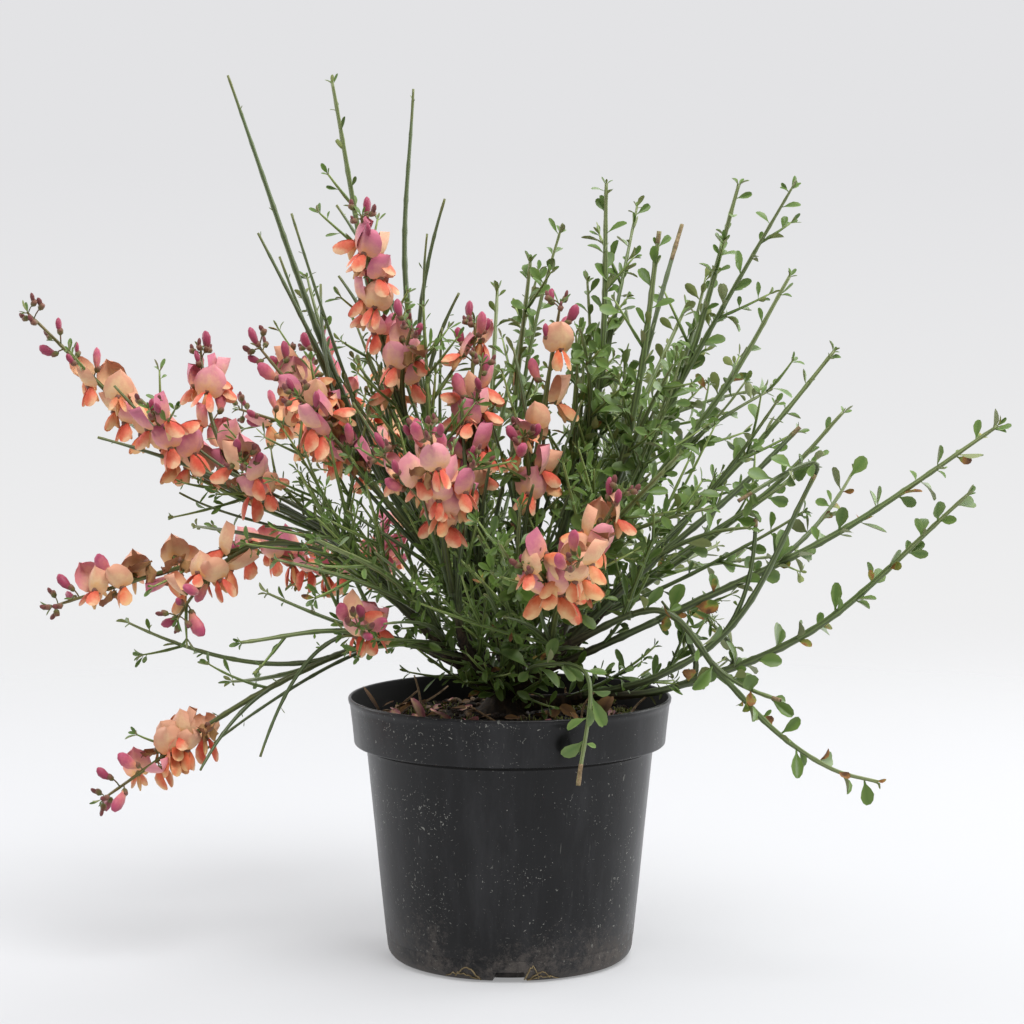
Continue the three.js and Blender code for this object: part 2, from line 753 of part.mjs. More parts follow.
// Leaves, blossoms and buds along a twig, each a turn on from the one before.
function dressTwig(curve, dress, random, owner) {
  const { leaf, bloom, bare, until } = DRESS[dress];
  const length = curve.getLength();
  const pieces = [];
  let turn = random() * 360;
  const grow = (step, from, to, put) => {
    for (let at = from * length + step / 2; step && at < to * length; at += step) {
      turn += BUD_TURN;
      pieces.push(put(curve, Math.min(at / length, 0.985), turn, 0.85 + 0.3 * random(), owner));
    }
  };
  grow(bloom, Math.max(bare, 1 - 150 / length), until, blossomOn);
  grow(leaf, bare, dress === "bloom" ? 0.6 : until, leafOn);
  if (bloom) pieces.push(budOn(curve, 0.97, turn, 1, owner));
  if (dress === "leafy") pieces.push(leafOn(curve, 0.985, turn, 0.8, owner));
  return pieces.filter(Boolean);
}

// A mass: its stem, its whips, their side shoots, and what grows on each of them.
function massOf({ name, seed, stem, whips }) {
  const random = dice(seed);
  const twigs = [stem, ...whips];
  twigs.slice().forEach(({ chords, dress }) => {
    const step = DRESS[dress].shoot;
    const length = chords.getLength();
    for (let at = step * 0.6; step && at < length * 0.8; at += step) {
      const shoot = shootCurve(chords, at / length, random() * 360, 26 + 22 * random());
      if (!curveIsFree(shoot, SHOOT_RADIUS, name)) continue;
      takeCurve(shoot, SHOOT_RADIUS, name);
      twigs.push(twigOf(shoot, SHOOT_RADIUS, SHOOT_TIP_RADIUS, "leafy"));
    }
  });
  const growth = twigs.flatMap(({ chords, dress }) => dressTwig(chords, dress, random, name));
  return joined([...twigs.map((twig) => twig.made), ...growth]);
}

const limbs = CROWN.map((entry, index) => ({ ...entry, seed: 101 + index, curve: limbCurve(entry) }));
const plant = new THREE.Group();
plant.name = "potted_scotch_broom";
plant.add(meshOf("pot", pot(), COLOURS.pot, 0.45));
plant.add(meshOf("potting_soil", soil(), COLOURS.soil, 0.95));
plant.add(meshOf("trunk", trunk(limbs), COLOURS.wood, 0.85));

// The space of the trunk's arms and of every bough, stem and whip is taken first.
Object.values(ARMS).forEach((arm) => takeCurve(armCurve(arm), ARM_RADIUS, "trunk"));
limbs.forEach((entry) => {
  takeCurve(stretch(entry.curve, 0, STUB_LENGTH), entry.radius, "trunk");
  const end = boughEnd(entry);
  if (entry.bough) {
    const bough = boughOf(entry);
    const name = "bough_of_" + entry.name;
    takeCurve(bough.curve, entry.radius, name);
    plant.add(meshOf(name, bough.made, COLOURS.bough, 0.7));
  }
  const curve = stretch(entry.curve, end + CLEAR, entry.curve.getLength());
  const radius = limbRadius(entry, end) * 1.12;
  takeCurve(curve, radius, entry.name);
  entry.stem = twigOf(curve, radius, WHIP_TIP_RADIUS, entry.dress);
  entry.stemRadius = radius;
});
limbs.forEach((entry) => {
  const made = [];
  entry.whips.forEach((whip) => {
    const curve = whipCurve(entry.stem.chords, whip);
    const radius = Math.max(1.3, entry.stemRadius * (1 - 0.45 * whip[0]) * 0.75);
    if (!curveIsFree(curve, radius, entry.name)) return;
    takeCurve(curve, radius, entry.name);
    made.push(twigOf(curve, radius, WHIP_TIP_RADIUS, whip[2]));
  });
  entry.whips = made;
});
limbs.forEach((entry) => {
  plant.add(meshOf(entry.name, massOf(entry), COLOURS[entry.dress], 0.65));
});

export default plant;
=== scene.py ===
"""A flowering scotch broom in its round nursery pot.

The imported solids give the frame: +X is the side with green shoots, -Y is the side that the plant shows to
the viewer, and +Z is up. Lengths and places are in millimetres until write_mesh() turns them to metres.
"""

import math

import bpy
import numpy as np
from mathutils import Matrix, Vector


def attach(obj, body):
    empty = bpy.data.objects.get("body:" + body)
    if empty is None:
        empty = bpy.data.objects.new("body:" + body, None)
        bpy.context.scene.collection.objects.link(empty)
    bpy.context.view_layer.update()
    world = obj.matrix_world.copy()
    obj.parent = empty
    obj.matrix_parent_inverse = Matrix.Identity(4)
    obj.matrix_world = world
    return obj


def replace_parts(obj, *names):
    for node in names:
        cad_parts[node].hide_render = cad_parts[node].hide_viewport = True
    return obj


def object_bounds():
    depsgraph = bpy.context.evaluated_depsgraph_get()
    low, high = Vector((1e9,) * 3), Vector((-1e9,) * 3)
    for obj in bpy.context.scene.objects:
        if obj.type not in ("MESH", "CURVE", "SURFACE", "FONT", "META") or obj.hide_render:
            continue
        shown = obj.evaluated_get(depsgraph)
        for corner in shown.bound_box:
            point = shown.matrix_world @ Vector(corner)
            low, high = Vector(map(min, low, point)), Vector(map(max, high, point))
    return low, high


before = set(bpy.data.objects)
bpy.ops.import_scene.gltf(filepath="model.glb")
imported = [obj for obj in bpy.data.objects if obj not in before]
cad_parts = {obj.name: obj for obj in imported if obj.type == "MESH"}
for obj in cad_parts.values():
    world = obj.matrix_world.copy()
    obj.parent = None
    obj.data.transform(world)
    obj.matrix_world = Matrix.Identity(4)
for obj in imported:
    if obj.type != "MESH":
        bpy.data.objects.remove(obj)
cad_box = [list(corner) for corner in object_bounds()]

MM = 0.001
UP = np.array([0.0, 0.0, 1.0])
FULL_TURN = 2 * math.pi
# The range of a random turn, and the turn from one bud to the next.
ANY_TURN = (0, 6.28)
GOLDEN_TURN = math.radians(137.5)

# The pot, as its solid has it. Its outline is in pot_shell().
POT_HEIGHT = 155
RIM_RADIUS = 95
BAND_FOOT = 127.5
FOOT_RADIUS = 72.5
FOOT_ROUND = 8
WALL = 2
DRAINS = 4
DRAIN_WIDTH = 19
DRAIN_HEIGHT = 6.5
DRAIN_DEPTH = 14

# The soil: its level at the stock, and at the wall.
SOIL_LEVEL = 143
SOIL_EDGE_LEVEL = 139
SOIL_RADIUS = 90.6

# The woody stock and its arms: where each leaves the stock, as a share of its height, and its tip.
STOCK_FOOT = np.array([-4.0, 5.0, 143.3])
STOCK_TOP = np.array([0.0, 4.0, 182.0])
STOCK_RADIUS = 10.5
STOCK_TOP_RADIUS = 6.5
ROOT_FLARE = 6.5
FLARE_HEIGHT = 14
ARM_RADIUS = 5.6
ARM_TIP_RADIUS = 3.6
STUB_LENGTH = 13
TIP_RADIUS = 0.75
ARMS = {
    "left": (0.3, [-46, 3, 190]),
    "left_front": (0.42, [-27, -30, 190]),
    "left_back": (0.38, [-26, 36, 192]),
    "crown_left": (0.8, [-20, 8, 222]),
    "crown_right": (0.85, [19, 5, 220]),
    "right": (0.34, [46, 2, 194]),
    "right_back": (0.46, [28, 36, 194]),
    "right_front": (0.3, [27, -32, 186]),
    "low_right": (0.14, [46, -6, 155]),
}

# The crown. Each limb leaves an arm at a share of it and follows its path. It is a bough for the first
# share of its length, then the stem of a mass. Its dress is what grows on it, and a stem in blossom has
# flowers between two shares of its length. Each whip leaves the stem at a share, ends at a tip and has
# its own dress.
CROWN = [
    ("far_left_bloom", "left", 1, 0.26, 2.7, "bloom", (0.4, 0.8),
     [[-105, -2, 250], [-190, 6, 292], [-283, 10, 380]],
     [[0.03, [-239, -14, 308], "rod"], [0.42, [-228, 48, 312], "rod"],
      [0.3, [-206, -38, 326], "bloom"], [0.16, [-184, 36, 357], "bloom"],
      [0.12, [-152, -44, 296], "bloom"]]),
    ("left_bloom", "crown_left", 0.42, 0.3, 2.6, "bloom", (0.42, 0.9),
     [[-68, -26, 268], [-145, -18, 361]],
     [[0.25, [-112, 30, 396], "rod"], [0.2, [-119, -58, 334], "bloom"],
      [0.42, [-130, 14, 352], "bloom"]]),
    ("arch_left_bloom", "left", 0.78, 0.28, 2.4, "bloom", (0.52, 0.86),
     [[-80, -22, 224], [-130, -20, 247], [-196, -14, 231], [-269, -5, 208]],
     [[0.2, [-187, 30, 252], "leafy"], [0.3, [-190, -46, 206], "bloom"]]),
    ("low_left_bloom", "left", 0.55, 0.3, 2.5, "bloom", (0.56, 0.93),
     [[-76, 20, 184], [-151, -12, 155], [-238, -25, 97]],
     [[0.03, [-228, 30, 194], "leafy"], [0.1, [-167, 34, 158], "leafy"],
      [0.28, [-178, -44, 118], "rod"]]),
    ("low_left_leafy", "left_front", 0.7, 0, 1.9, "leafy", None,
     [[-92, -40, 198], [-152, -66, 195]],
     [[0.4, [-142, -62, 129], "rod"], [0.3, [-140, -30, 219], "leafy"],
      [0.2, [-84, -98, 208], "bloom"]]),
    ("tall_rods_left", "crown_left", 0.72, 0.25, 2.6, "rod", None,
     [[-64, 12, 264], [-104, 14, 345], [-165, 20, 518]],
     [[0.12, [-146, -4, 426], "rod"], [0.1, [-121, 44, 400], "leafy"]]),
    ("tall_bloom_left", "crown_left", 0.9, 0.25, 2.6, "leafy", None,
     [[-46, -4, 280], [-76, -8, 370], [-102, -10, 512]],
     [[0.14, [-84, -42, 436], "bloom"], [0.1, [-56, -42, 372], "bloom"],
      [0.26, [-100, 8, 401], "rod"]]),
    ("tall_rods_centre", "crown_left", 1, 0.24, 2.5, "rod", None,
     [[-44, 28, 290], [-62, 34, 399], [-57, 36, 511]],
     [[0.16, [-38, 12, 446], "rod"], [0.1, [-30, 24, 391], "rod"], [0.22, [-104, 58, 443], "rod"]]),
    ("centre_bloom", "crown_left", 0.62, 0, 2.2, "bloom", (0.45, 0.92),
     [[-24, -22, 282], [-20, -8, 374]],
     [[0.2, [-16, -36, 352], "bloom"]]),
    ("front_left_bloom", "left_front", 1, 0.24, 2.5, "bloom", (0.42, 0.96),
     [[-36, -66, 246], [-43, -120, 318]],
     [[0.25, [-70, -96, 303], "bloom"], [0.3, [-18, -104, 300], "bloom"],
      [0.1, [-48, -72, 316], "bloom"]]),
    ("centre_right_bloom", "crown_right", 0.3, 0, 2.3, "bloom", (0.42, 0.9),
     [[14, -28, 286], [29, -32, 386]],
     [[0.3, [8, -62, 312], "bloom"], [0.36, [2, -16, 360], "rod"]]),
    ("front_right_bloom", "right_front", 0.86, 0.24, 2.3, "bloom", (0.55, 1.0),
     [[26, -84, 214], [38, -140, 250]],
     [[0.06, [62, -104, 284], "bloom"], [0.35, [12, -124, 246], "bloom"]]),
    ("first_upright_leafy", "crown_right", 0.5, 0, 2.2, "leafy", None,
     [[2, 28, 300], [12, 12, 409]],
     [[0.2, [30, 46, 427], "leafy"]]),
    ("second_upright_leafy", "crown_right", 1, 0.22, 2.4, "leafy", None,
     [[36, 2, 270], [53, 0, 345], [56, -2, 455]],
     [[0.25, [76, 48, 442], "leafy"], [0.12, [40, -46, 372], "leafy"]]),
    ("cut_upright_leafy", "crown_right", 0.78, 0.24, 2.7, "leafy", None,
     [[56, -14, 268], [74, -16, 335], [86, -18, 427]],
     [[0.4, [101, 16, 431], "rod"], [0.15, [92, -62, 352], "leafy"]]),
    ("tall_right_leafy", "right", 0.5, 0.24, 2.7, "leafy", None,
     [[62, 36, 262], [104, 32, 345], [135, 26, 455]],
     [[0.18, [163, -8, 452], "leafy"], [0.28, [118, 60, 400], "leafy"]]),
    ("leafy_right", "right", 0.84, 0.24, 2.4, "leafy", None,
     [[74, 26, 262], [128, 28, 335], [167, 42, 401]],
     [[0.22, [155, 56, 331], "leafy"]]),
    ("right_rod_leafy", "right", 1, 0.24, 2.3, "leafy", None,
     [[92, -20, 250], [150, -18, 312], [188, -12, 358]],
     [[0.2, [150, -58, 330], "leafy"]]),
    ("right_rods", "right_back", 0.5, 0.26, 2.4, "leafy", None,
     [[92, 34, 224], [156, 22, 276], [197, 18, 321]],
     [[0.24, [188, 60, 292], "leafy"]]),
    ("cut_right_rod", "right_front", 0.66, 0.28, 2.6, "rod", None,
     [[76, -36, 232], [130, -44, 280], [165, -46, 316]],
     [[0.2, [134, -84, 262], "leafy"]]),
    ("far_right_leafy", "right_front", 0.5, 0.26, 2.4, "leafy", None,
     [[98, -22, 208], [192, -20, 254], [282, -20, 315]],
     [[0.24, [205, 30, 286], "leafy"]]),
    ("low_right_leafy", "low_right", 1, 0.2, 2.4, "leafy", None,
     [[96, -8, 161], [180, -10, 197], [266, -15, 275]],
     [[0.02, [90, 14, 209], "rod"], [0.14, [118, 30, 196], "leafy"]]),
    ("broken_right", "low_right", 0.72, 0, 2.3, "rod", None,
     [[88, -34, 172], [133, -40, 208], [174, -46, 289]],
     [[1, [129, -62, 275], "leafy"], [0.42, [142, -26, 262], "rod"]]),
    ("hanging_right", "right_front", 1, 0.24, 2.3, "leafy", None,
     [[84, -70, 214], [119, -74, 178], [150, -76, 146], [181, -76, 125], [208, -75, 117]],
     [[0.3, [150, -104, 168], "leafy"]]),
    ("front_sprig", "right_front", 0.32, 0, 1.8, "leafy", None,
     [[16, -58, 181], [44, -88, 178], [38, -103, 120]],
     []),
    ("back_left_bloom", "left_back", 1, 0.24, 2.5, "bloom", (0.4, 0.9),
     [[-62, 86, 262], [-128, 158, 358]],
     [[0.2, [-66, 168, 350], "bloom"], [0.15, [-168, 104, 318], "bloom"]]),
    ("back_centre_leafy", "left_back", 0.66, 0, 2.4, "leafy", None,
     [[-14, 92, 276], [-8, 146, 392]],
     [[0.3, [-36, 182, 330], "leafy"], [0.25, [18, 104, 404], "leafy"]]),
    ("back_right_leafy", "right_back", 1, 0.24, 2.5, "leafy", None,
     [[56, 86, 266], [112, 146, 382]],
     [[0.2, [62, 176, 344], "leafy"], [0.3, [158, 118, 330], "leafy"]]),
    ("back_low_left", "left", 0.34, 0.26, 2.3, "leafy", None,
     [[-74, 90, 206], [-140, 172, 226]],
     [[0.3, [-60, 196, 238], "bloom"], [0.2, [-176, 110, 232], "bloom"]]),
    ("back_low_right", "right_back", 0.7, 0.26, 2.3, "leafy", None,
     [[72, 92, 208], [134, 176, 226]],
     [[0.3, [56, 198, 246], "leafy"], [0.2, [184, 120, 226], "leafy"]]),
    ("front_centre_leafy", "right_front", 0.22, 0, 2, "leafy", None,
     [[2, -80, 232], [-6, -160, 262]],
     [[0.3, [6, -96, 276], "leafy"]]),
    ("front_left_leafy", "left", 0.55, 0, 2.2, "leafy", None,
     [[-62, -80, 230], [-104, -146, 262]],
     [[0.2, [-128, -104, 246], "leafy"]]),
    ("front_right_leafy", "crown_right", 0.1, 0, 2.2, "leafy", None,
     [[54, -58, 256], [92, -128, 306]],
     [[0.3, [112, -96, 274], "leafy"]]),
]


# Directions: arrays whose last axis is x, y and z.


def unit(v):
    return v / np.maximum(np.linalg.norm(v, axis=-1, keepdims=True), 1e-9)


def dot(a, b):
    return np.sum(a * b, axis=-1, keepdims=True)


def square_to(axis, v):
    """The part of v that is square to a unit axis, at length 1."""
    return unit(v - dot(v, axis) * axis)


def turned(v, axis, angle):
    """v turned about a unit axis that is square to it: v cos + (axis x v) sin."""
    angle = np.asarray(angle)[..., None]
    return v * np.cos(angle) + np.cross(axis, v) * np.sin(angle)


def side_of(way):
    """A direction square to each way, level where the way isn't steep."""
    steep = np.abs(way[..., 2:]) > 0.9
    return square_to(way, np.cross(way, np.where(steep, [0.0, 1.0, 0.0], UP)))


def smooth(x):
    x = np.clip(x, 0, 1)
    return x * x * (3 - 2 * x)


def grain(points, size, seed):
    """A smooth, random-looking field from -1 to 1: the mean of ten sine waves about size long, each with
    its own direction and phase."""
    rng = np.random.default_rng(seed)
    waves = unit(rng.normal(size=(10, 3))) * (FULL_TURN / size) * rng.uniform(0.6, 1.5, (10, 1))
    return np.sin(points @ waves.T + rng.uniform(0, FULL_TURN, 10)).mean(axis=-1) * 2


# Lines: arrays of points, an even step apart. A curve is worked out at a number of points first.
LINE_STEP = 3.0
CURVE = np.linspace(0, 1, 24)[:, None]


def even(points, step=LINE_STEP):
    gaps = np.linalg.norm(np.diff(points, axis=0), axis=1)
    lengths = np.concatenate([[0], np.cumsum(gaps)])
    at = np.linspace(0, lengths[-1], max(4, round(lengths[-1] / step) + 1))
    return np.stack([np.interp(at, lengths, points[:, k]) for k in range(3)], axis=1)


def length_of(line):
    return float(np.linalg.norm(np.diff(line, axis=0), axis=1).sum())


def along(line, share):
    """Points and directions at shares of a line."""
    place = np.clip(np.asarray(share, float), 0, 1) * (len(line) - 1)
    index = np.minimum(place.astype(int), len(line) - 2)
    part = (place - index)[..., None]
    points = line[index] * (1 - part) + line[index + 1] * part
    return points, unit(line[index + 1] - line[index])


def stretch(line, start, end, step=LINE_STEP):
    """The part of a line between two lengths along it."""
    share = np.array([start, end]) / length_of(line)
    count = max(4, round((end - start) / step) + 1)
    return along(line, np.linspace(share[0], share[1], count))[0]


def bent(foot, knee, tip):
    """(1-t)^2 foot + 2t(1-t) knee + t^2 tip, for t from 0 to 1."""
    t = CURVE
    return even((1 - t) ** 2 * foot + 2 * t * (1 - t) * knee + t * t * tip)


def through(places):
    """A smooth line through places: between two of them a cubic whose slope at each is half the way from
    the place before it to the place after it."""
    p = np.array([2 * places[0] - places[1], *places, 2 * places[-1] - places[-2]])
    t = CURVE
    spans = []
    for before, start, end, after in zip(p, p[1:], p[2:], p[3:]):
        slope, next_slope = (end - before) / 2, (after - start) / 2
        rise = (2 * t**3 - 3 * t**2 + 1) * start + (-2 * t**3 + 3 * t**2) * end
        spans.append(rise + (t**3 - 2 * t**2 + t) * slope + (t**3 - t**2) * next_slope)
    return even(np.concatenate(spans))


# Meshes are gathered as (points, triangles, age), where age runs from 0 at a shape's root to 1 at its tip.


def grid_faces(rows, columns, closed=False):
    """Two triangles for each cell of a grid of points, row by row; closed joins the last column to the
    first."""
    r, c = np.meshgrid(np.arange(rows - 1), np.arange(columns if closed else columns - 1), indexing="ij")
    a, b = r * columns + c, r * columns + (c + 1) % columns
    quads = np.stack([a, b, b + columns, a, b + columns, a + columns], axis=-1)
    return quads.reshape(-1, 3)


def blade_faces(rows, columns):
    """As grid_faces(), but a cell is cut along its other diagonal in two of the four quarters, so that every
    triangle at the corners has a point inside the rim."""
    r, c = np.meshgrid(np.arange(rows - 1), np.arange(columns - 1), indexing="ij")
    a = r * columns + c
    b, far_a, far_b = a + 1, a + columns, a + columns + 1
    plain = np.stack([a, b, far_b, a, far_b, far_a], axis=-1)
    crossed = np.stack([a, b, far_a, b, far_b, far_a], axis=-1)
    swap = (c >= (columns - 1) / 2) ^ (r >= (rows - 1) / 2)
    return np.where(swap[..., None], crossed, plain).reshape(-1, 3)


def gathered(meshes):
    """Several (points, triangles, age) as one."""
    starts = np.cumsum([0] + [len(points) for points, _, _ in meshes])
    faces = [triangles + start for (_, triangles, _), start in zip(meshes, starts)]
    return (
        np.concatenate([points for points, _, _ in meshes]),
        np.concatenate(faces),
        np.concatenate([age for _, _, age in meshes]),
    )


def copied(points, faces, age):
    """A batch of shapes with the same faces, points (N, k, 3), as one mesh."""
    count, size = points.shape[:2]
    starts = np.arange(count)[:, None, None] * size
    ages = np.broadcast_to(age, (count, size)).reshape(-1)
    return points.reshape(-1, 3), (faces[None] + starts).reshape(-1, 3), ages


# A line counts as straight if the angle between its two ends has a smaller sine than this.
STRAIGHT = 0.15


def rods(lines, radii, sides, ridge=0.0, relief=None, squash=1.0):
    """Rods as a batch: at each point of a line a ring, square to the line, of the given radius, with
    every second side sunk by the ridge share, and narrowed to the squash share across the plane that the
    line bends in. Each end closes on its own line's point. lines is (N, rings, 3), radii (N, rings)."""
    ways = unit(np.gradient(lines, axis=1))
    bend = np.cross(ways[:, 0], ways[:, -1])
    straight = np.linalg.norm(bend, axis=1, keepdims=True) < STRAIGHT
    across = unit(np.where(straight, side_of(ways[:, 0]), bend))[:, None]
    side = square_to(ways, np.broadcast_to(across, ways.shape))
    rise = np.cross(ways, side)
    angle = np.linspace(0, FULL_TURN, sides, endpoint=False)
    out = side[:, :, None] * squash * np.cos(angle)[:, None] + rise[:, :, None] * np.sin(angle)[:, None]
    reach = radii[:, :, None] * (1 - ridge * (np.arange(sides) % 2))
    rings = lines[:, :, None] + out * reach[..., None]
    if relief is not None:
        rings = rings + out * relief(rings)[..., None]
    count, rows = lines.shape[:2]
    points = np.concatenate([rings.reshape(count, -1, 3), lines[:, :1], lines[:, -1:]], axis=1)
    here, after = np.arange(sides), (np.arange(sides) + 1) % sides
    foot, tip = rows * sides, rows * sides + 1
    last = (rows - 1) * sides
    foot_fan = np.stack([np.full(sides, foot), after, here], axis=1)
    tip_fan = np.stack([np.full(sides, tip), last + here, last + after], axis=1)
    faces = np.concatenate([grid_faces(rows, sides, closed=True), foot_fan, tip_fan])
    age = np.concatenate([np.repeat(np.linspace(0, 1, rows), sides), [0, 1]])
    return copied(points, faces, age)


def sheets(grids, below, thick, age):
    """Thin blades as a batch: grids (N, rows, columns, 3), each with a second grid under it that meets it
    at the rim and lies thick below it inside. The under faces come second, row for row."""
    count, rows, columns = grids.shape[:3]
    inside = np.zeros((rows, columns))
    inside[1:-1, 1:-1] = 1
    under = grids + below[:, None, None] * (thick * inside)[..., None]
    points = np.stack([grids, under], axis=1).reshape(count, -1, 3)
    top = blade_faces(rows, columns)
    faces = np.concatenate([top, top[:, ::-1] + rows * columns])
    return copied(points, faces, np.tile(age.reshape(-1), 2))


# The limbs, by the source's rule.


def stock_point(share):
    return STOCK_FOOT + (STOCK_TOP - STOCK_FOOT) * share


def arm_line(arm):
    """An arm bows outwards a little on its way from the stock to its tip."""
    leaves, tip = ARMS[arm]
    foot, tip = stock_point(leaves), np.array(tip, float)
    knee = np.array([tip[0] * 0.62, foot[1] + (tip[1] - foot[1]) * 0.62, foot[2] + (tip[2] - foot[2]) * 0.42])
    return bent(foot, knee, tip)


def limb_line(arm, share, path):
    return through([along(arm_line(arm), share)[0], *np.array(path, float)])


def whip_line(stem, share, tip):
    """A whip starts along its stem and bends away to its tip."""
    foot, way = along(stem, share)
    tip = np.array(tip, float)
    return bent(foot, foot + way * np.linalg.norm(tip - foot) * 0.42, tip)


def shoot_line(parent, share, turn, length):
    """A side shoot leaves its parent, leans out and curves towards the sky."""
    foot, way = along(parent, share)
    out = turned(side_of(way), way, turn)
    knee = foot + way * length * 0.35 + out * length * 0.3
    end = knee + way * length * 0.3 + out * length * 0.34
    return bent(foot, knee, end + UP * length * 0.12)


def companion_line(line, rng, share, spread):
    """A shoot that runs beside its parent and parts from it slowly, shorter than it."""
    full = length_of(line)
    start = rng.uniform(0.02, 0.2) * full
    path = stretch(line, start, start + (full - start) * share)
    way = along(line, 0.4)[1]
    out = turned(side_of(way), way, rng.uniform(0, FULL_TURN))
    t = np.linspace(0, 1, len(path))[:, None]
    sag = turned(out, way, 1.6) * np.sin(t * math.pi) * rng.uniform(-4, 4)
    return even(path + out * spread * t**1.15 + sag)


class Twig:
    """A line with its radius at the foot and tip, its dress, where it flowers, its order (0 for a stem or
    whip, 1 for a shoot beside it, 2 for a side shoot), its mass, and the length of its dry end."""

    def __init__(self, line, radius, tip, dress, zone=None, order=0, mass="", dry=0):
        self.line, self.radius, self.tip = line, radius, tip
        self.dress, self.zone, self.order = dress, zone, order
        self.mass, self.dry = mass, dry
        self.length = length_of(line)


# What grows along a twig by dress: the space between buds with leaves, the length of its leaves at the
# foot and at the tip, their width as a share of that, the chance that a bud's first, second and third
# leaf is there, and the space between side shoots.
DRESS = {
    "rod": {"leaf": 21, "size": (7.5, 5), "width": 0.34, "keep": (0.5, 0.3, 0.1), "shoot": 0},
    "leafy": {"leaf": 11.5, "size": (15, 12), "width": 0.5, "keep": (1.0, 0.66, 0.36), "shoot": 46},
    "open": {"leaf": 19, "size": (15, 12.5), "width": 0.54, "keep": (0.85, 0.42, 0.16), "shoot": 110},
    "bloom": {"leaf": 13, "size": (10, 7), "width": 0.36, "keep": (0.7, 0.4, 0.15), "shoot": 64},
    "inner": {"leaf": 9, "size": (16, 10), "width": 0.31, "keep": (0.9, 0.65, 0.3), "shoot": 34},
    "foot": {"leaf": 9, "size": (17, 13), "width": 0.42, "keep": (0.9, 0.5, 0.1), "shoot": 0},
    "sparse": {"leaf": 13.5, "size": (20, 15), "width": 0.56, "keep": (1.0, 0.8, 0.5), "shoot": 0},
    "sprig": {"leaf": 14, "size": (19, 17), "width": 0.52, "keep": (1.0, 0.8, 0.3), "shoot": 0},
}
# The lengths of a bud's three leaves against its first, and the part of a whip that flowers.
LEAF_RANKS = np.array([1.0, 0.72, 0.5])
WHIP_ZONE = (0.34, 0.88)
# Masses whose leaves hang on bare stems, and masses with room between their shoots.
SPARSE_MASSES = ("far_right_leafy", "low_right_leafy", "hanging_right", "broken_right", "front_sprig")
OPEN_MASSES = ("leafy_right", "right_rod_leafy", "right_rods", "cut_right_rod", "back_low_left",
               "back_low_right", "low_left_leafy", "arch_left_bloom", "low_left_bloom")
# How many companions run beside a limb, by what its leafy parts wear.
COMPANIONS = {"sparse": 0, "sprig": 0, "open": 1, "leafy": 4}
COMPANIONS_IN_BLOSSOM = 5
# How thick the stems of some masses are, against the limb's own radius.
STOUTNESS = {"far_right_leafy": 1.15, "low_right_leafy": 1.15, "front_sprig": 0.72, "tall_right_leafy": 1.15}
# Radii: the thinnest foot of a whip, a companion's foot, and the foot and tip of other shoots.
WHIP_RADIUS = 1.3
COMPANION_RADIUS = 1.35
SIDE_SHOOT_RADII = (1.0, 0.55)
INNER_RADII = (1.3, 0.6)
INNER_SIDE_RADII = (0.9, 0.5)
FOOT_SHOOT_RADII = (1.2, 0.6)
# The lengths of dry wood at cut or broken ends: the stem's own, then each whip's.
DRY_ENDS = {
    "cut_upright_leafy": (7, 24, 0),
    "cut_right_rod": (7, 0),
    "broken_right": (3, 9, 5),
    "front_sprig": (12,),
    "hanging_right": (0, 6),
}


def leafy_dress(name):
    """What the leafy parts of a mass wear."""
    if name == "front_sprig":
        return "sprig"
    if name in SPARSE_MASSES:
        return "sparse"
    return "open" if name in OPEN_MASSES else "leafy"


def grow_crown():
    """The boughs and every twig: stems and whips as the source has them, then companions beside them,
    side shoots along them, and inner shoots that rise from the arms."""
    boughs, twigs = [], []
    for index, (name, arm, share, bough, radius, dress, zone, path, whips) in enumerate(CROWN):
        rng = np.random.default_rng(101 + index)
        line = limb_line(arm, share, path)
        full = length_of(line)
        end = max(STUB_LENGTH + 14, full * bough) if bough else STUB_LENGTH
        radius_at_end = radius + (TIP_RADIUS - radius) * end / full
        if bough:
            boughs.append((stretch(line, STUB_LENGTH - 3, end + 1), radius, radius_at_end))
        leafy = leafy_dress(name)
        dry = DRY_ENDS.get(name, (0,) * (1 + len(whips)))
        stout = STOUTNESS.get(name, 1)
        own = leafy if dress == "leafy" else dress
        tip_radius = TIP_RADIUS * (1.4 if own in ("sparse", "leafy", "open") else 1)
        if dry[0]:
            tip_radius = min(WHIP_RADIUS, radius_at_end * 0.7)
        stem = Twig(stretch(line, end, full), radius_at_end * stout, tip_radius, own, zone, 0, name, dry[0])
        made = [stem]
        for (at, tip, whip_dress), dry_end in zip(whips, dry[1:]):
            foot = max(WHIP_RADIUS, radius_at_end * (1 - 0.45 * at) * 0.8 * stout)
            tip_radius = foot * 0.85 if dry_end else TIP_RADIUS
            own = leafy if whip_dress == "leafy" else whip_dress
            whip_zone = WHIP_ZONE if own == "bloom" else None
            whip = whip_line(stem.line, at, tip)
            made.append(Twig(whip, foot, tip_radius, own, whip_zone, 0, name, dry_end))
        full_dress = COMPANIONS["leafy"] if dress == "leafy" else COMPANIONS_IN_BLOSSOM
        for _ in range(full_dress if leafy == "leafy" else COMPANIONS[leafy]):
            beside = companion_line(line, rng, rng.uniform(0.38, 0.74), rng.uniform(8, 34))
            own = leafy if dress == "leafy" and rng.random() < 0.5 else "rod"
            made.append(Twig(beside, COMPANION_RADIUS, TIP_RADIUS, own, None, 1, name))
        for twig in list(made):
            made += side_shoots(twig, "open" if leafy == "open" else "leafy", rng)
        twigs += made
    twigs += inner_shoots(boughs)
    return boughs, [twig for twig in twigs if keeps_clear(twig.line)]


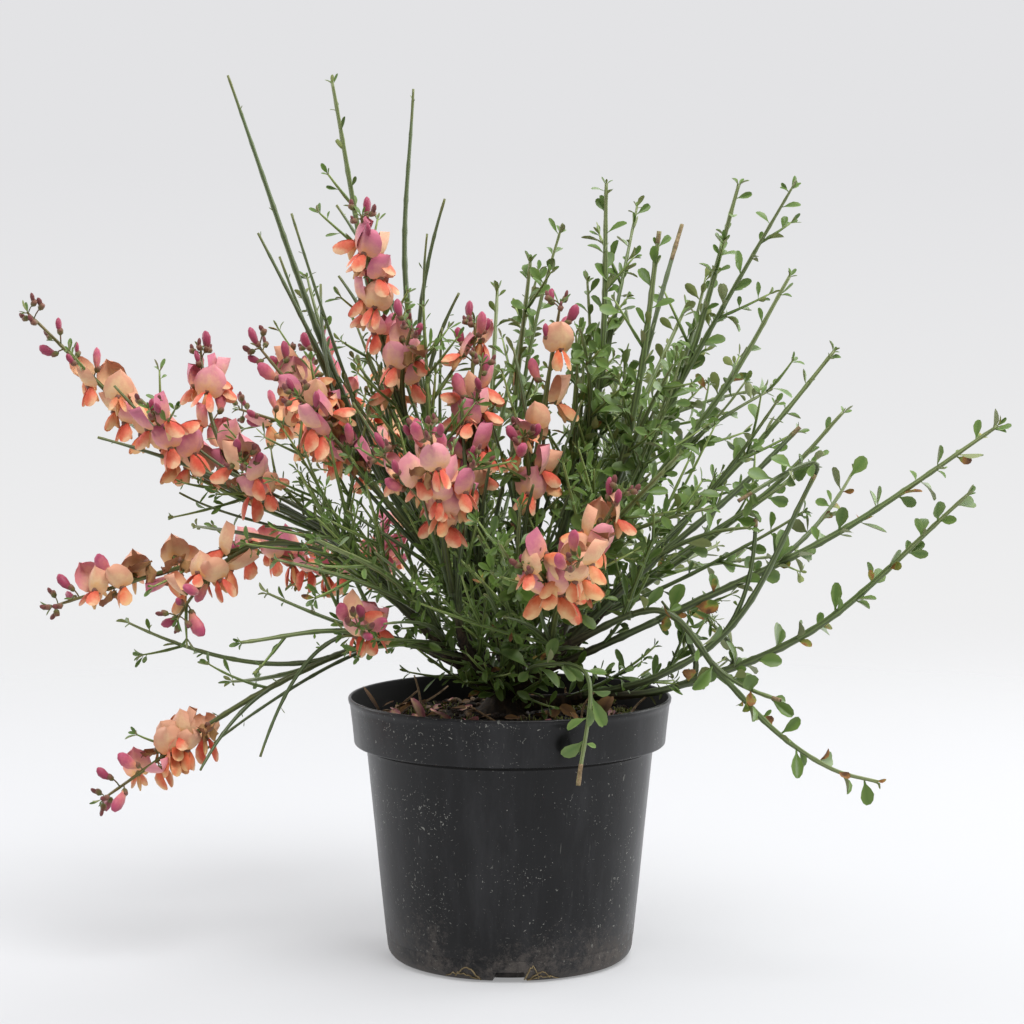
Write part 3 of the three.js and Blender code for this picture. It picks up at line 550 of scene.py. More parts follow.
def side_shoots(twig, dress, rng):
    """Shoots on every side of a twig, as far apart as its dress says and shorter towards its tip."""
    step = DRESS[twig.dress]["shoot"]
    if not step:
        return []
    made = []
    places = np.arange(step * 0.7, twig.length * 0.86, step)
    for place in places + rng.uniform(-0.3, 0.3, len(places)) * step:
        left = 1 - place / twig.length
        length = rng.uniform(20, 34) + 34 * left * rng.random()
        line = shoot_line(twig.line, place / twig.length, rng.uniform(*ANY_TURN), length)
        made.append(Twig(line, *SIDE_SHOOT_RADII, dress, None, 2, twig.mass))
    return made


# How many inner shoots are tried, and the box that every twig stays in.
INNER_SHOOTS = 150
LOWEST_TIP = 60
CROWN_LOW = np.array(cad_box[0]) / MM - 6
CROWN_HIGH = np.array(cad_box[1]) / MM + 4


def share_kept(tip):
    """How many of the inner shoots stay, by where their tips are: all of them in the heart, and fewer low
    at the sides, high on the right, on the right and low in front."""
    x, y, z = tip
    if abs(x) > 58 and z < 250:
        return 0.25
    if x > 10 and z > 225:
        return 0.35
    if x > 30:
        return 0.16
    return 0.32 if y < -20 and z < 225 else 1


def risen(foot, way, turn, length):
    """A line that sets out along a way, and in its second half bends to the way with the turn added."""
    knee = foot + way * length * 0.5
    return bent(foot, knee, knee + unit(way + turn) * length * 0.5)


def inner_shoots(boughs):
    """Leafy shoots that rise from the arms and the lower boughs and fill the heart of the shrub, and short
    ones all round the front that hide the foot of the stock."""
    rng = np.random.default_rng(77)
    made = []
    feet = [arm_line(arm) for arm in ARMS] + [line for line, _, _ in boughs]
    for _ in range(INNER_SHOOTS):
        foot_line = feet[rng.integers(len(feet))]
        foot, way = along(foot_line, rng.uniform(0.3, 1))
        way = unit(way * 0.7 + UP * rng.uniform(0.2, 1.1) + rng.normal(size=3) * 0.42)
        length = rng.uniform(45, 120)
        line = risen(foot, way, UP * 0.25 + rng.normal(size=3) * 0.22, length)
        if rng.random() < share_kept(line[-1]):
            made.append(Twig(line, *INNER_RADII, "inner", None, 1))
    for turn in np.radians(np.arange(-165, 0, 15.0)):
        out = np.array([np.cos(turn), np.sin(turn), 0])
        foot = stock_point(rng.uniform(0.1, 0.5)) + out * 7
        way = unit(out + UP * rng.uniform(0.35, 1.6))
        length = rng.uniform(26, 62)
        line = risen(foot, way, rng.normal(size=3) * 0.3, length)
        made.append(Twig(line, *FOOT_SHOOT_RADII, "foot", None, 1))
    for twig in list(made):
        for share in rng.uniform(0.2, 0.85, 2):
            line = shoot_line(twig.line, share, rng.uniform(*ANY_TURN), rng.uniform(18, 40))
            made.append(Twig(line, *INNER_SIDE_RADII, "inner", None, 2))
    return made


def keeps_clear(line):
    """True if a line stays over the soil, over the rim with 3 mm to spare, no lower than the lowest hanging
    tip beside the pot, and inside the crown's reach."""
    out = np.hypot(line[:, 0], line[:, 1])
    beside_rim = np.where(out < RIM_RADIUS + 3, POT_HEIGHT + 3, LOWEST_TIP)
    low = np.where(out < RIM_RADIUS - 8, SOIL_LEVEL + 2, beside_rim)
    inside = (line > CROWN_LOW).all() and (line < CROWN_HIGH).all()
    return bool((line[:, 2] > low).all()) and inside


# Leaves. A spray is the leaves of one twig: arrays of their roots, ways, faces, lengths and widths. A leaf
# is widest at a share of its length, and a twig ends in a tuft of small leaves.
LEAF_ROWS = np.array([0, 0.2, 0.42, 0.65, 0.88, 1.0])
LEAF_ACROSS = np.array([-1.0, 0.0, 1.0])
LEAF_THICK = 0.25
LEAF_WIDEST = 0.62
TUFT_LEAVES = 4
# Leaves turn their faces to the light, which comes from above and from the nearer side, front or back.
LIGHT_SIDE = np.array([0.1, -0.85, 0.55])
FRONT_ENDS = 50


def leaf_spray(twig, rng):
    """Leaves in ones to threes at each bud of a twig, each bud a golden turn on from the last, and a
    tuft at its tip. Towards the side in blossom they are fewer, smaller and narrower."""
    rule = DRESS[twig.dress]
    places = np.arange(4 if twig.order == 2 else 9, twig.length - 1 - twig.dry, rule["leaf"])
    places = np.repeat(places, 3) + rng.uniform(-1.2, 1.2, len(places) * 3)
    rank = np.tile([0, 1, 2], len(places) // 3)
    thin = smooth((30 - along(twig.line, places / twig.length)[0][:, 0]) / 110)
    keep = rng.random(len(places)) < np.array(rule["keep"])[rank] * (1 - 0.4 * thin)
    places, rank, thin = places[keep], rank[keep], thin[keep]
    share = np.clip(places / twig.length, 0, 0.99)
    root, way = along(twig.line, share)
    turn = np.floor(places / rule["leaf"]) * GOLDEN_TURN + rank * 1.1 + rng.normal(size=len(places)) * 0.3
    out = turned(side_of(way), way, turn + rng.uniform(*ANY_TURN))
    lean = rng.uniform(0.3, 1.1, (len(places), 1))
    reach = unit(out + way * lean + UP * 0.2 + rng.normal(size=root.shape) * 0.16)
    light = LIGHT_SIDE * np.where(root[:, 1:2] > FRONT_ENDS, [1, -1, 1], 1)
    face = way * 0.55 + light * 0.75 + rng.normal(size=root.shape) * 0.45
    foot, tip = rule["size"]
    size = (foot + (tip - foot) * share) * rng.uniform(0.75, 1.15, len(places)) * LEAF_RANKS[rank]
    size, narrow = size * (1 - 0.2 * thin), 1 - 0.35 * thin
    tuft = 0 if twig.dress == "rod" or twig.dry else TUFT_LEAVES
    end, end_way = along(twig.line, np.full(tuft, 1.0))
    tuft_out = turned(side_of(end_way), end_way, np.arange(tuft) * 1.57 + rng.uniform(0, 1.5))
    tuft_reach = unit(tuft_out * rng.uniform(0.25, 1.0, (tuft, 1)) + end_way)
    root = np.concatenate([root + out * 0.5, end - end_way * 1.2])
    reach = np.concatenate([reach, tuft_reach])
    face = np.concatenate([face, LIGHT_SIDE * 0.5 - tuft_out])
    size = np.concatenate([size, rng.uniform(4, 9, tuft)])
    width = size * rule["width"] * rng.uniform(0.85, 1.15, len(size)) * np.append(narrow, np.full(tuft, 0.8))
    return root, reach, square_to(reach, face), size, width


def leaf_meshes(root, reach, face, size, width, rng):
    """Leaf blades. Along its length u from 0 to 1 a leaf's midrib is an arc that bends away from its
    face. Across it v runs from -1 to 1. Its half width is that of an ellipse above its widest place and
    narrows to a stalk below it, and each half is folded up a little."""
    count = len(root)
    side = np.cross(reach, face)
    fold = rng.uniform(0.1, 0.75, count)[:, None, None]
    curl = rng.uniform(-0.5, 0.9, count)[:, None, None] + 1e-3
    u = LEAF_ROWS[None, :, None]
    v = LEAF_ACROSS[None, None, :]
    ellipse = np.sqrt(np.clip(1 - ((u - LEAF_WIDEST) / 0.4) ** 2, 0.02, 1))
    outline = np.where(u < LEAF_WIDEST, 0.09 + 0.91 * smooth((u - 0.08) / 0.54), ellipse)
    half = width[:, None, None] / 2 * outline * np.abs(v)
    length = size[:, None, None]
    ahead = length * np.sin(curl * u) / curl
    drop = length * (1 - np.cos(curl * u)) / curl
    axes = [axis[:, None, None, :] for axis in (reach, side, face)]
    grids = root[:, None, None, :] + ahead[..., None] * axes[0]
    grids = grids + (half * np.cos(fold) * np.sign(v))[..., None] * axes[1]
    grids = grids + (half * np.sin(fold) - drop)[..., None] * axes[2]
    age = np.broadcast_to(np.abs(LEAF_ACROSS), (len(LEAF_ROWS), 3))
    return sheets(grids, -face, LEAF_THICK, age)


# A flower, in its own axes: ahead, aside and up. It is about 25 mm over its petals. A petal's rows run from
# its root at 0 to its tip at 1, and its columns across it from -1 to 1.
BANNER_HEIGHT = 16.5
BANNER_HALF = 9
BANNER_ROWS = np.array([0, 0.16, 0.4, 0.66, 0.86, 0.96, 1.0])[:, None]
BANNER_ACROSS = np.array([-1, -0.7, -0.36, -0.07, 0.07, 0.36, 0.7, 1])[None, :]
WING_LENGTH = 14.6
WING_HALF = 4.2
WING_ROWS = np.array([0, 0.16, 0.4, 0.68, 0.9, 1.0])[:, None]
WING_ACROSS = np.linspace(-1, 1, 5)[None, :]
KEEL_LENGTH = 12
PETAL_THICK = 0.3
# Three ways that a flower is open: its banner's bend and crease, its wings' splay, and its keel's droop.
OPENINGS = ((0.9, 1.5, 0.0, 0.72), (1.2, 1.2, 0.05, 0.85), (1.5, 0.95, 0.16, 1.0))


def banner(opening, crease):
    """The upright petal, a heart with its lobes down. Its midrib starts ahead and bends up and back, to
    the opening's angle. Its half width grows over the first 0.36 of its length and closes over an ellipse.
    Its two halves fold back from a crease along the midrib, the lobes at its foot hang below the throat,
    and its top comes to a small point."""
    s, t = BANNER_ROWS, BANNER_ACROSS
    wide = np.abs(t)
    bend = 0.4 + opening * s**0.5
    step = np.diff(s, axis=0, prepend=0) * BANNER_HEIGHT
    ahead = 2 + np.cumsum(np.cos(bend) * step, axis=0)
    up = np.cumsum(np.sin(bend) * step, axis=0)
    top = np.sqrt(np.clip(1 - (np.clip(s - 0.45, 0, 1) / 0.56) ** 2, 0.02, 1))
    half = BANNER_HALF * (0.5 + 0.5 * np.clip(s / 0.36, 0, 1) ** 0.6) * top
    fold = crease * (3.2 * wide + 2.2 * wide**3)
    hang = 4.4 * wide**1.4 * (1 - s) ** 1.5
    point = 0.8 * s**6 * (1 - wide) ** 1.5
    reach = ahead - fold * np.sin(bend) - hang * 0.2
    rise = up + fold * np.cos(bend) * 0.5 - hang + point
    age = np.clip(s * 0.8 + 0.42 * wide * (0.4 + 0.6 * s), 0, 1)
    return np.stack([reach, half * t, rise], -1), age


def wing(side, splay):
    """One of the two side petals: an oval that points ahead and down, sags in a sine arch along its length
    and is swollen outwards. Its upper edge meets the other one's over the keel, and from there it slopes
    down, so that the two make a pouch. The upper edge is red, and the lower edge and the tip are pale."""
    s, t = WING_ROWS, WING_ACROSS
    way = unit(np.array([0.77, side * splay, -0.64]))
    out = square_to(way, np.array([0.35, side, 0.7]))
    across = np.cross(out, way) * side
    ellipse = np.sqrt(np.clip(1 - ((s - 0.58) / 0.44) ** 2, 0.05, 1))
    half = WING_HALF * np.where(s < 0.58, 0.3 + 0.7 * smooth(s / 0.5), ellipse)
    swell = 2.2 * np.sin(math.pi * s**0.8) * (1 - 0.75 * t**2)
    sag = 3.1 * np.sin(math.pi * (0.15 + 0.6 * s))
    grid = way * (s * WING_LENGTH)[..., None] + across * (sag + half * t)[..., None]
    grid = grid + out * swell[..., None] + np.array([1.6, side * 0.3, 0.8])
    return grid, np.clip(0.38 * s**2 + 0.75 * smooth((t + 0.75) / 1.75) * (0.3 + 0.7 * s), 0, 1)


def keel(droop):
    """The boat between the wings: a thick blade that bends down."""
    s = np.linspace(0, 1, 5)
    angle = -droop - 0.5 * s
    line = np.stack([np.cos(angle) * s, 0 * s, np.sin(angle) * s], axis=1) * KEEL_LENGTH
    radii = 2.4 * np.sqrt(np.clip(1 - ((s - 0.5) / 0.52) ** 2, 0.02, 1))
    return line, radii


OPEN, CLOSED, WITHERED, BUD, TIP_BUD = range(5)
# The piece that a closed flower or a bud goes to, and the least and the greatest length.
CLUBS = {
    CLOSED: ("closed_blooms", (12, 15.5)),
    BUD: ("buds_rose", (7.5, 11.5)),
    TIP_BUD: ("buds_brown", (4, 6.5)),
}
PEACH_MASSES = ("front_right_bloom", "low_left_bloom")
# The space between flowers along a stem, wider where the stem points at the viewer, and between buds.
BLOSSOM_STEP = 8.4
OPEN_BLOSSOM_STEPS = {"front_left_bloom": 11.5, "front_right_bloom": 9, "centre_right_bloom": 13,
                      "centre_bloom": 11, "low_left_leafy": 13, "arch_left_bloom": 9,
                      "low_left_bloom": 6.5}
BUD_STEP = 6.5
TIP_BUD_STEP = 12.0
# The chance of a second flower at a bud's place, and of a withered one.
SECOND_FLOWER = 0.4
WITHERED_SHARE = 0.07


def blossom_sites(twig, rng):
    """Where a twig's flowers and buds sit: (share, kind), flowers in its zone, more of them closed towards
    its end, pink buds past them that shrink towards the tip, and small brown buds at the end."""
    low, high = twig.zone
    shares, kinds = [], []
    step = OPEN_BLOSSOM_STEPS.get(twig.mass, BLOSSOM_STEP) / twig.length
    for share in np.arange(low, high, step):
        for _ in range(1 + (rng.random() < SECOND_FLOWER)):
            shares.append(share + rng.uniform(-0.4, 0.4) * step)
            closed = 0.05 + 0.4 * smooth((share - low) / (high - low) * 1.5 - 0.6)
            chances = [1 - WITHERED_SHARE - closed, closed, WITHERED_SHARE]
            kinds.append(rng.choice([OPEN, CLOSED, WITHERED], p=chances))
    buds_end = min(1.0, high + 0.1)
    for share in np.arange(high, buds_end, BUD_STEP / twig.length):
        shares.append(share + rng.uniform(-0.4, 0.4) * step)
        kinds.append(BUD)
    tip_shares = [*np.arange(buds_end, 0.97, TIP_BUD_STEP / twig.length), 0.975, 0.985, 0.995]
    return np.clip(shares + tip_shares, 0, 0.995), np.array(kinds + [TIP_BUD] * len(tip_shares))


def placed(shape, root, axes, scale):
    """A shape (..., 3) in its own axes, put at each root: (N, ..., 3)."""
    lift = (slice(None),) + (None,) * (shape.ndim - 1) + (slice(None),)
    moved = sum(shape[None, ..., k, None] * axes[k][lift] for k in range(3))
    return root[lift] + moved * np.reshape(scale, (-1,) + (1,) * shape.ndim)


def grow_blossom(twigs):
    """Every flower and bud of the crown, by kind of petal: {piece: [meshes]}."""
    found = {}
    rng = np.random.default_rng(2024)
    for number, twig in enumerate(twig for twig in twigs if twig.zone):
        share, kind = blossom_sites(twig, rng)
        count = len(share)
        foot, way = along(twig.line, share)
        turn = np.arange(count) * GOLDEN_TURN + rng.normal(size=count) * 0.35 + number
        out = turned(side_of(way), way, turn)
        out = unit(out + way * 0.25 + rng.normal(size=out.shape) * 0.15)
        ahead = unit(out * [1, 1, 0.55] + rng.normal(size=out.shape) * 0.16 + [0, 0, -0.02])
        up = square_to(ahead, UP + way * 0.25 + rng.normal(size=out.shape) * 0.22)
        stalk = rng.uniform(4, 7.5, count)[:, None]
        root = foot + out * stalk + UP * stalk * 0.18
        axes = np.array([ahead, np.cross(up, ahead), up])
        scale = rng.uniform(0.82, 1.08, count)
        pick = kind == OPEN
        grow_flowers(found, root[pick], axes[:, pick], scale[pick], twig.mass, number, rng)
        pick = kind == WITHERED
        grow_withered(found, root[pick], axes[:, pick], scale[pick])
        for which, (name, lengths) in CLUBS.items():
            pick = kind == which
            length = rng.uniform(*lengths, pick.sum())
            point = unit(out[pick] + way[pick] * 0.6 + UP * 0.1)
            grow_buds(found, name, root[pick], point, square_to(point, up[pick]), length)
        put_stalks(found, foot, root)
    return found


def put(found, name, mesh):
    found.setdefault(name, []).append(mesh)


def put_stalks(found, foot, root):
    """A flower's stalk, bent upwards, and the cup of its calyx."""
    t = np.linspace(0, 1, 4)[None, :, None]
    arch = UP * 0.9 * np.sin(math.pi * t)
    lines = foot[:, None] * (1 - t) + root[:, None] * t + arch
    put(found, "stalks", rods(lines, np.full(lines.shape[:2], 0.45), 4))
    way = unit(root - foot)
    t = np.array([0, 0.3, 0.75, 1.0])[None, :, None]
    cups = root[:, None] - way[:, None] * 1.6 + way[:, None] * 4.6 * t
    radii = np.broadcast_to(np.array([0.6, 1.8, 1.9, 1.5]), cups.shape[:2])
    put(found, "stalks", rods(cups, radii, 6))


def grow_flowers(found, root, axes, scale, mass, number, rng):
    """Banner, wings and keel of each flower. Most flowers of a twig share a tone."""
    count = len(root)
    if not count:
        return
    tone = np.random.default_rng(500 + number).choice(["pink", "pink", "peach", "rose"])
    tone = "peach" if mass in PEACH_MASSES else tone
    tones = np.where(rng.random(count) < 0.6, tone, rng.choice(["pink", "peach", "rose"], count))
    openings = rng.integers(0, len(OPENINGS), count)
    for which, (opening, crease, splay, droop) in enumerate(OPENINGS):
        pick = openings == which
        if not pick.any():
            continue
        grid, age = banner(opening, crease)
        for colour in ("pink", "peach", "rose"):
            own = pick & (tones == colour)
            if own.any():
                blades = placed(grid, root[own], axes[:, own], scale[own])
                put(found, "banners_" + colour, sheets(blades, -axes[0, own], PETAL_THICK, age))
        at = axes[:, pick]
        for side in (-1, 1):
            grid, age = wing(side, splay)
            blades = placed(grid, root[pick], at, scale[pick])
            below = unit(-at[2] - side * at[1] * 0.8)
            name = "wings_peach" if which < 2 and tone == "peach" else "wings_coral"
            put(found, name, sheets(blades, below, PETAL_THICK, age))
        line, radii = keel(droop)
        lines = placed(line, root[pick], at, scale[pick])
        put(found, "keels", rods(lines, np.broadcast_to(radii, lines.shape[:2]), 6, squash=0.6))


def grow_withered(found, root, axes, scale):
    """Withered flowers: banner and wings shrunk, hanging and crumpled by a field of waves 5 mm long."""
    if not len(root):
        return
    ahead, aside, up = axes
    down = unit(ahead * 0.6 - UP)
    hanging = (down, aside, square_to(down, up))
    for grid, age in (banner(0.4, 1.6), wing(-1, 0.3), wing(1, 0.1)):
        blades = placed(grid, root, hanging, scale * 0.72)
        rumple = np.stack([grain(blades, 5.0, 60 + k) for k in range(3)], axis=-1)
        put(found, "withered_blooms", sheets(blades + rumple * 1.3, -down, PETAL_THICK, age))


def grow_buds(found, name, root, ahead, up, length):
    """Buds and closed flowers: a club that is narrow at its stalk, two thirds as wide as it is high, and
    curves upwards to a blunt tip."""
    if not len(root):
        return
    t = np.array([0, 0.18, 0.42, 0.7, 0.9, 1.0])[None, :, None]
    lines = root[:, None] + (ahead[:, None] * t + up[:, None] * 0.42 * t**2) * length[:, None, None]
    radii = length[:, None] * 0.29 * np.array([0.34, 0.55, 0.88, 1.0, 0.7, 0.2])
    put(found, name, rods(lines, radii, 8, squash=0.66))


# The woody parts. By order of twig: the sides of its rods, how deep its furrows are, and its rings' step.
# A bough and a dry end have only sides and furrows. Stems are thicker at their buds, a gap apart.
TWIG_FORMS = ((10, 0.26, 3.0), (8, 0.22, 3.6), (6, 0.1, 5.0))
BOUGH_FORM = (10, 0.16)
DRY_END_FORM = (9, 0.1)
KNOT_GAP = 19.0


def bark_relief(points):
    """Fissures along the wood: the field is squeezed across it and drawn out along its height."""
    stretched = points * np.array([1.0, 1.0, 0.3])
    return 0.75 * np.abs(grain(stretched, 4.5, 3)) + 0.35 * grain(stretched, 1.9, 4) - 0.3


def woody_stock():
    """The stock with its root flare, its arms and the stubs of the limbs, in rough bark."""
    line = even(np.array([STOCK_FOOT, STOCK_TOP]), 1.5)
    share = np.linspace(0, 1, len(line))
    left = np.clip(1 - share * length_of(line) / FLARE_HEIGHT, 0, 1)
    radius = STOCK_RADIUS + (STOCK_TOP_RADIUS - STOCK_RADIUS) * share + ROOT_FLARE * left**2
    meshes = [rods(line[None], radius[None], 28, relief=bark_relief)]
    for arm in ARMS:
        line = even(arm_line(arm), 2.0)
        radius = np.linspace(ARM_RADIUS, ARM_TIP_RADIUS * 0.85, len(line))
        meshes.append(rods(line[None], radius[None], 18, relief=bark_relief))
    for _, arm, share, _, radius, _, _, path, _ in CROWN:
        line = even(stretch(limb_line(arm, share, path), 0, STUB_LENGTH), 2.0)
        taper = np.linspace(radius * 1.25, radius, len(line))
        meshes.append(rods(line[None], taper[None], 12))
    return gathered(meshes)


def knots(length, count):
    """A swelling at each bud of a stem: 1 in between, and up to a fifth more at a bud."""
    s = np.linspace(0, length, count)
    return 1 + 0.2 * np.exp(-(((s % KNOT_GAP) - KNOT_GAP / 2) ** 2) / 5)


def limb_mesh(line, foot, tip, sides, ridge):
    """A limb that keeps its thickness for most of its length: tip + (foot - tip)(1 - share^2)."""
    share = np.linspace(0, 1, len(line))
    radii = (tip + (foot - tip) * (1 - share**2)) * knots(length_of(line), len(line))
    return rods(line[None], radii[None], sides, ridge)


def dry_ends(twigs):
    """The dry wood at the ends of cut or broken stems, a little thicker than the stem."""
    mine = [twig for twig in twigs if twig.dry]
    ends = [even(stretch(twig.line, twig.length - twig.dry, twig.length, 1.5), 2.0) for twig in mine]
    tips = [twig.tip for twig in mine]
    return gathered([limb_mesh(end, tip + 0.12, tip, *DRY_END_FORM) for end, tip in zip(ends, tips)])


def twig_mesh(twig):
    """Stems have five ridges, the shoots beside them four, and thin side shoots three faint ones."""
    sides, ridge, step = TWIG_FORMS[twig.order]
    return limb_mesh(even(twig.line, step), twig.radius, twig.tip, sides, ridge)


# The pot and its soil. Crumbs and litter lie between these radii. The roots' table gives each root's
# start and end, as turns from the drain in front, and its rise.
LITTER_RADII = (18, 86)
CRUMB_RADII = (14, 84)
ROOT_RADIUS = 72.9
ROOTS = ((-0.24, -0.46, 7), (-0.26, -0.56, 3), (0.16, 0.34, 5), (0.14, 0.42, 2), (0.12, 0.24, 8))


def rounded(centre, radius, start, end, count=7):
    """An arc of a profile between two angles in degrees."""
    angle = np.radians(np.linspace(start, end, count))
    return [(centre[0] + radius * math.cos(a), centre[1] + radius * math.sin(a)) for a in angle]


def pot_shell():
    """The moulded cup: a profile of (radius, height), its outside from the foot to the lip and then its
    inside down again, carried round the axis and lifted into a recess at each drain."""
    foot_arc = rounded((FOOT_RADIUS - FOOT_ROUND, FOOT_ROUND), FOOT_ROUND, -90, -6)
    outside = [(0.01, 0.0), (40, 0.0), (58, 0.0), (60.2, 0.0), *foot_arc]
    outside += [(72.7, 9.5), (73.0, 12.6), (72.75, 13.2), (73.25, 13.8), (76.2, 42), (79.1, 72), (81.9, 100)]
    outside += [(84.2, 123), (84.6, 125.2), (85.6, 126.6), (87.5, 127.2), (90.4, 127.3)]
    outside += [*rounded((90.4, 128.6), 1.3, -90, 0, 4), (92.6, 138), (93.9, 149), (94.2, 151.4)]
    outside += [(94.9, 152.2), *rounded((94.1, 153.9), 1.05, 0, 90, 4)]
    inside = [(93.6, 154.9), (93.0, 154.2), (92.6, 151), (90.6, 138), (89.4, 129.4), (82.6, 123)]
    inside += [(79.9, 100), (74.2, 42), (71.0, 12), *rounded((63.5, 9), 7, 0, -90), (50, 2.0), (0.01, 2.0)]
    half = DRAIN_WIDTH / 2 / FOOT_RADIUS
    drains = -math.pi / 2 + FULL_TURN * np.arange(DRAINS) / DRAINS
    jamb = np.linspace(-0.03, 0.03, 7)
    jambs = (drains[:, None] + np.concatenate([jamb - half, jamb + half])).ravel()
    angles = np.concatenate([np.linspace(0, FULL_TURN, 180, endpoint=False), jambs])
    angles = np.unique(np.mod(angles, FULL_TURN))
    radius, height = np.array(outside + inside, float).T[..., None]
    off = np.abs((angles[:, None] - drains + math.pi) % FULL_TURN - math.pi).min(axis=1)
    window = smooth((half + 0.02 - off) / 0.04)
    x, y = radius * np.cos(angles), radius * np.sin(angles)
    reach = smooth((np.hypot(x, y) - (FOOT_RADIUS - DRAIN_DEPTH)) / 1.5)
    rows = np.arange(len(radius))[:, None]
    roof = DRAIN_HEIGHT + np.where(rows >= len(outside), WALL, 0)
    points = np.stack([x, y, np.maximum(height, roof * window * reach)], axis=-1)
    faces = grid_faces(len(radius), len(angles), closed=True)[:, ::-1]
    within = np.repeat(rows[:, 0] > len(outside), len(angles))
    return points.reshape(-1, 3), faces, within.astype(float)


def soil_height(x, y):
    """Soil falls from the stock to the wall, with crumbs and lumps."""
    out = np.hypot(x, y)
    level = SOIL_LEVEL + (SOIL_EDGE_LEVEL - SOIL_LEVEL) * smooth((out - 26) / 62)
    place = np.stack([x, y, 0 * x], axis=-1)
    lumps = 1.7 * grain(place, 34, 11) + 1.1 * grain(place, 11, 12) + 0.7 * grain(place, 4.6, 13)
    return level + lumps * smooth((SOIL_RADIUS + 4 - out) / 12)


def soil_body():
    """The soil's lumpy top, with a skirt and a floor under it that the pot hides."""
    radius = np.concatenate([np.linspace(0.01, SOIL_RADIUS, 62), [SOIL_RADIUS - 1.5, 0.01]])
    angles = np.linspace(0, FULL_TURN, 200, endpoint=False)
    x, y = radius[:, None] * np.cos(angles), radius[:, None] * np.sin(angles)
    z = soil_height(x, y)
    z[-2:] = BAND_FOOT + 2
    points = np.stack([x, y, z], axis=-1).reshape(-1, 3)
    return points, grid_faces(len(radius), len(angles), closed=True), np.zeros(len(points))


def scattered(count, seed, inner, outer, arc=(0, 360)):
    """Random places on the soil, between two radii and two angles, with a random turn for each."""
    rng = np.random.default_rng(seed)
    radius = np.sqrt(rng.uniform(inner**2, outer**2, count))
    angle = np.radians(rng.uniform(*arc, count))
    x, y = radius * np.cos(angle), radius * np.sin(angle)
    return np.stack([x, y, soil_height(x, y)], axis=-1), rng.uniform(*ANY_TURN, count), rng


def lying(turn, rise):
    """Directions on the ground at each turn, with a rise."""
    return np.stack([np.cos(turn), np.sin(turn), rise], axis=-1)


def soil_crumbs(count, seed, size):
    """Lumps of peat and bits of bark: short rods of random thickness and tilt, half sunk."""
    place, turn, rng = scattered(count, seed, *CRUMB_RADII)
    way = unit(lying(turn, rng.uniform(-0.4, 0.4, count)))
    length = rng.uniform(*size, count)[:, None, None]
    t = np.linspace(-0.5, 0.5, 4)[None, :, None]
    lines = place[:, None] + way[:, None] * t * length + UP * rng.uniform(0, 1.2, (count, 1, 1))
    radii = length[..., 0] * np.array([0.18, 0.34, 0.3, 0.12]) * rng.uniform(0.6, 1.1, (count, 1))
    return rods(lines, radii, 6)


def litter(count, seed, size, inner=LITTER_RADII[0], arc=(0, 360)):
    """Fallen leaves and petals that lie on the soil, curled."""
    place, turn, rng = scattered(count, seed, inner, LITTER_RADII[1], arc)
    reach = unit(lying(turn, rng.uniform(0, 0.45, count)))
    outwards = dot(place * [1, 1, 0], reach) > 0
    reach = np.where(outwards, reach * [-1, -1, 1], reach)
    face = square_to(reach, UP + rng.normal(size=(count, 3)) * 0.35)
    length = rng.uniform(*size, count)
    return leaf_meshes(place + UP * rng.uniform(1, 3.5, (count, 1)), reach, face, length, length * 0.5, rng)


def leaning(angles, seed):
    """Fallen leaves and petals at the given angles, in degrees, that stand on the soil and lean outwards
    on the pot's wall."""
    rng = np.random.default_rng(seed)
    angle = np.radians(angles)
    out = lying(angle, 0 * angle)
    root = out * 75 + UP * (SOIL_EDGE_LEVEL + 4.5)
    reach = unit(out * 0.7 + UP + rng.normal(size=root.shape) * 0.12)
    face = square_to(reach, UP * 0.5 - out + rng.normal(size=root.shape) * 0.3)
    length = rng.uniform(22, 26, len(root))
    return leaf_meshes(root, reach, face, length, length * 0.5, rng)


def moss(patch_count, blades):
    """Tufts of moss: patches of short upright blades."""
    patches, _, rng = scattered(patch_count, 41, 30, 84)
    centre = np.repeat(patches, blades, axis=0)
    x, y = (centre[:, :2] + rng.normal(size=(len(centre), 2)) * 3.6).T
    keep = np.hypot(x, y) < SOIL_RADIUS - 4
    root = np.stack([x, y, soil_height(x, y) - 0.3], axis=-1)[keep]
    reach = unit(rng.normal(size=root.shape) * 0.5 + UP)
    length = rng.uniform(2.5, 5.5, len(root))
    return leaf_meshes(root, reach, side_of(reach), length, length * 0.3, rng)


def dead_twigs(count):
    """Dry twigs that lie on the soil and lean on the stems."""
    place, turn, rng = scattered(count, 51, 34, 80)
    t = np.linspace(0, 1, 8)[None, :, None]
    length = rng.uniform(18, 42, (count, 1, 1))
    inwards = unit(-place * [1, 1, 0])
    way = unit(inwards * 0.7 + lying(turn, rng.uniform(0.1, 1.1, count)))
    bow = side_of(way)[:, None] * np.sin(math.pi * t) * rng.uniform(-3, 3, (count, 1, 1))
    lines = place[:, None] + UP * 1.5 + way[:, None] * t * length + bow
    return rods(lines, np.broadcast_to(np.linspace(0.95, 0.5, 8), (count, 8)), 6)


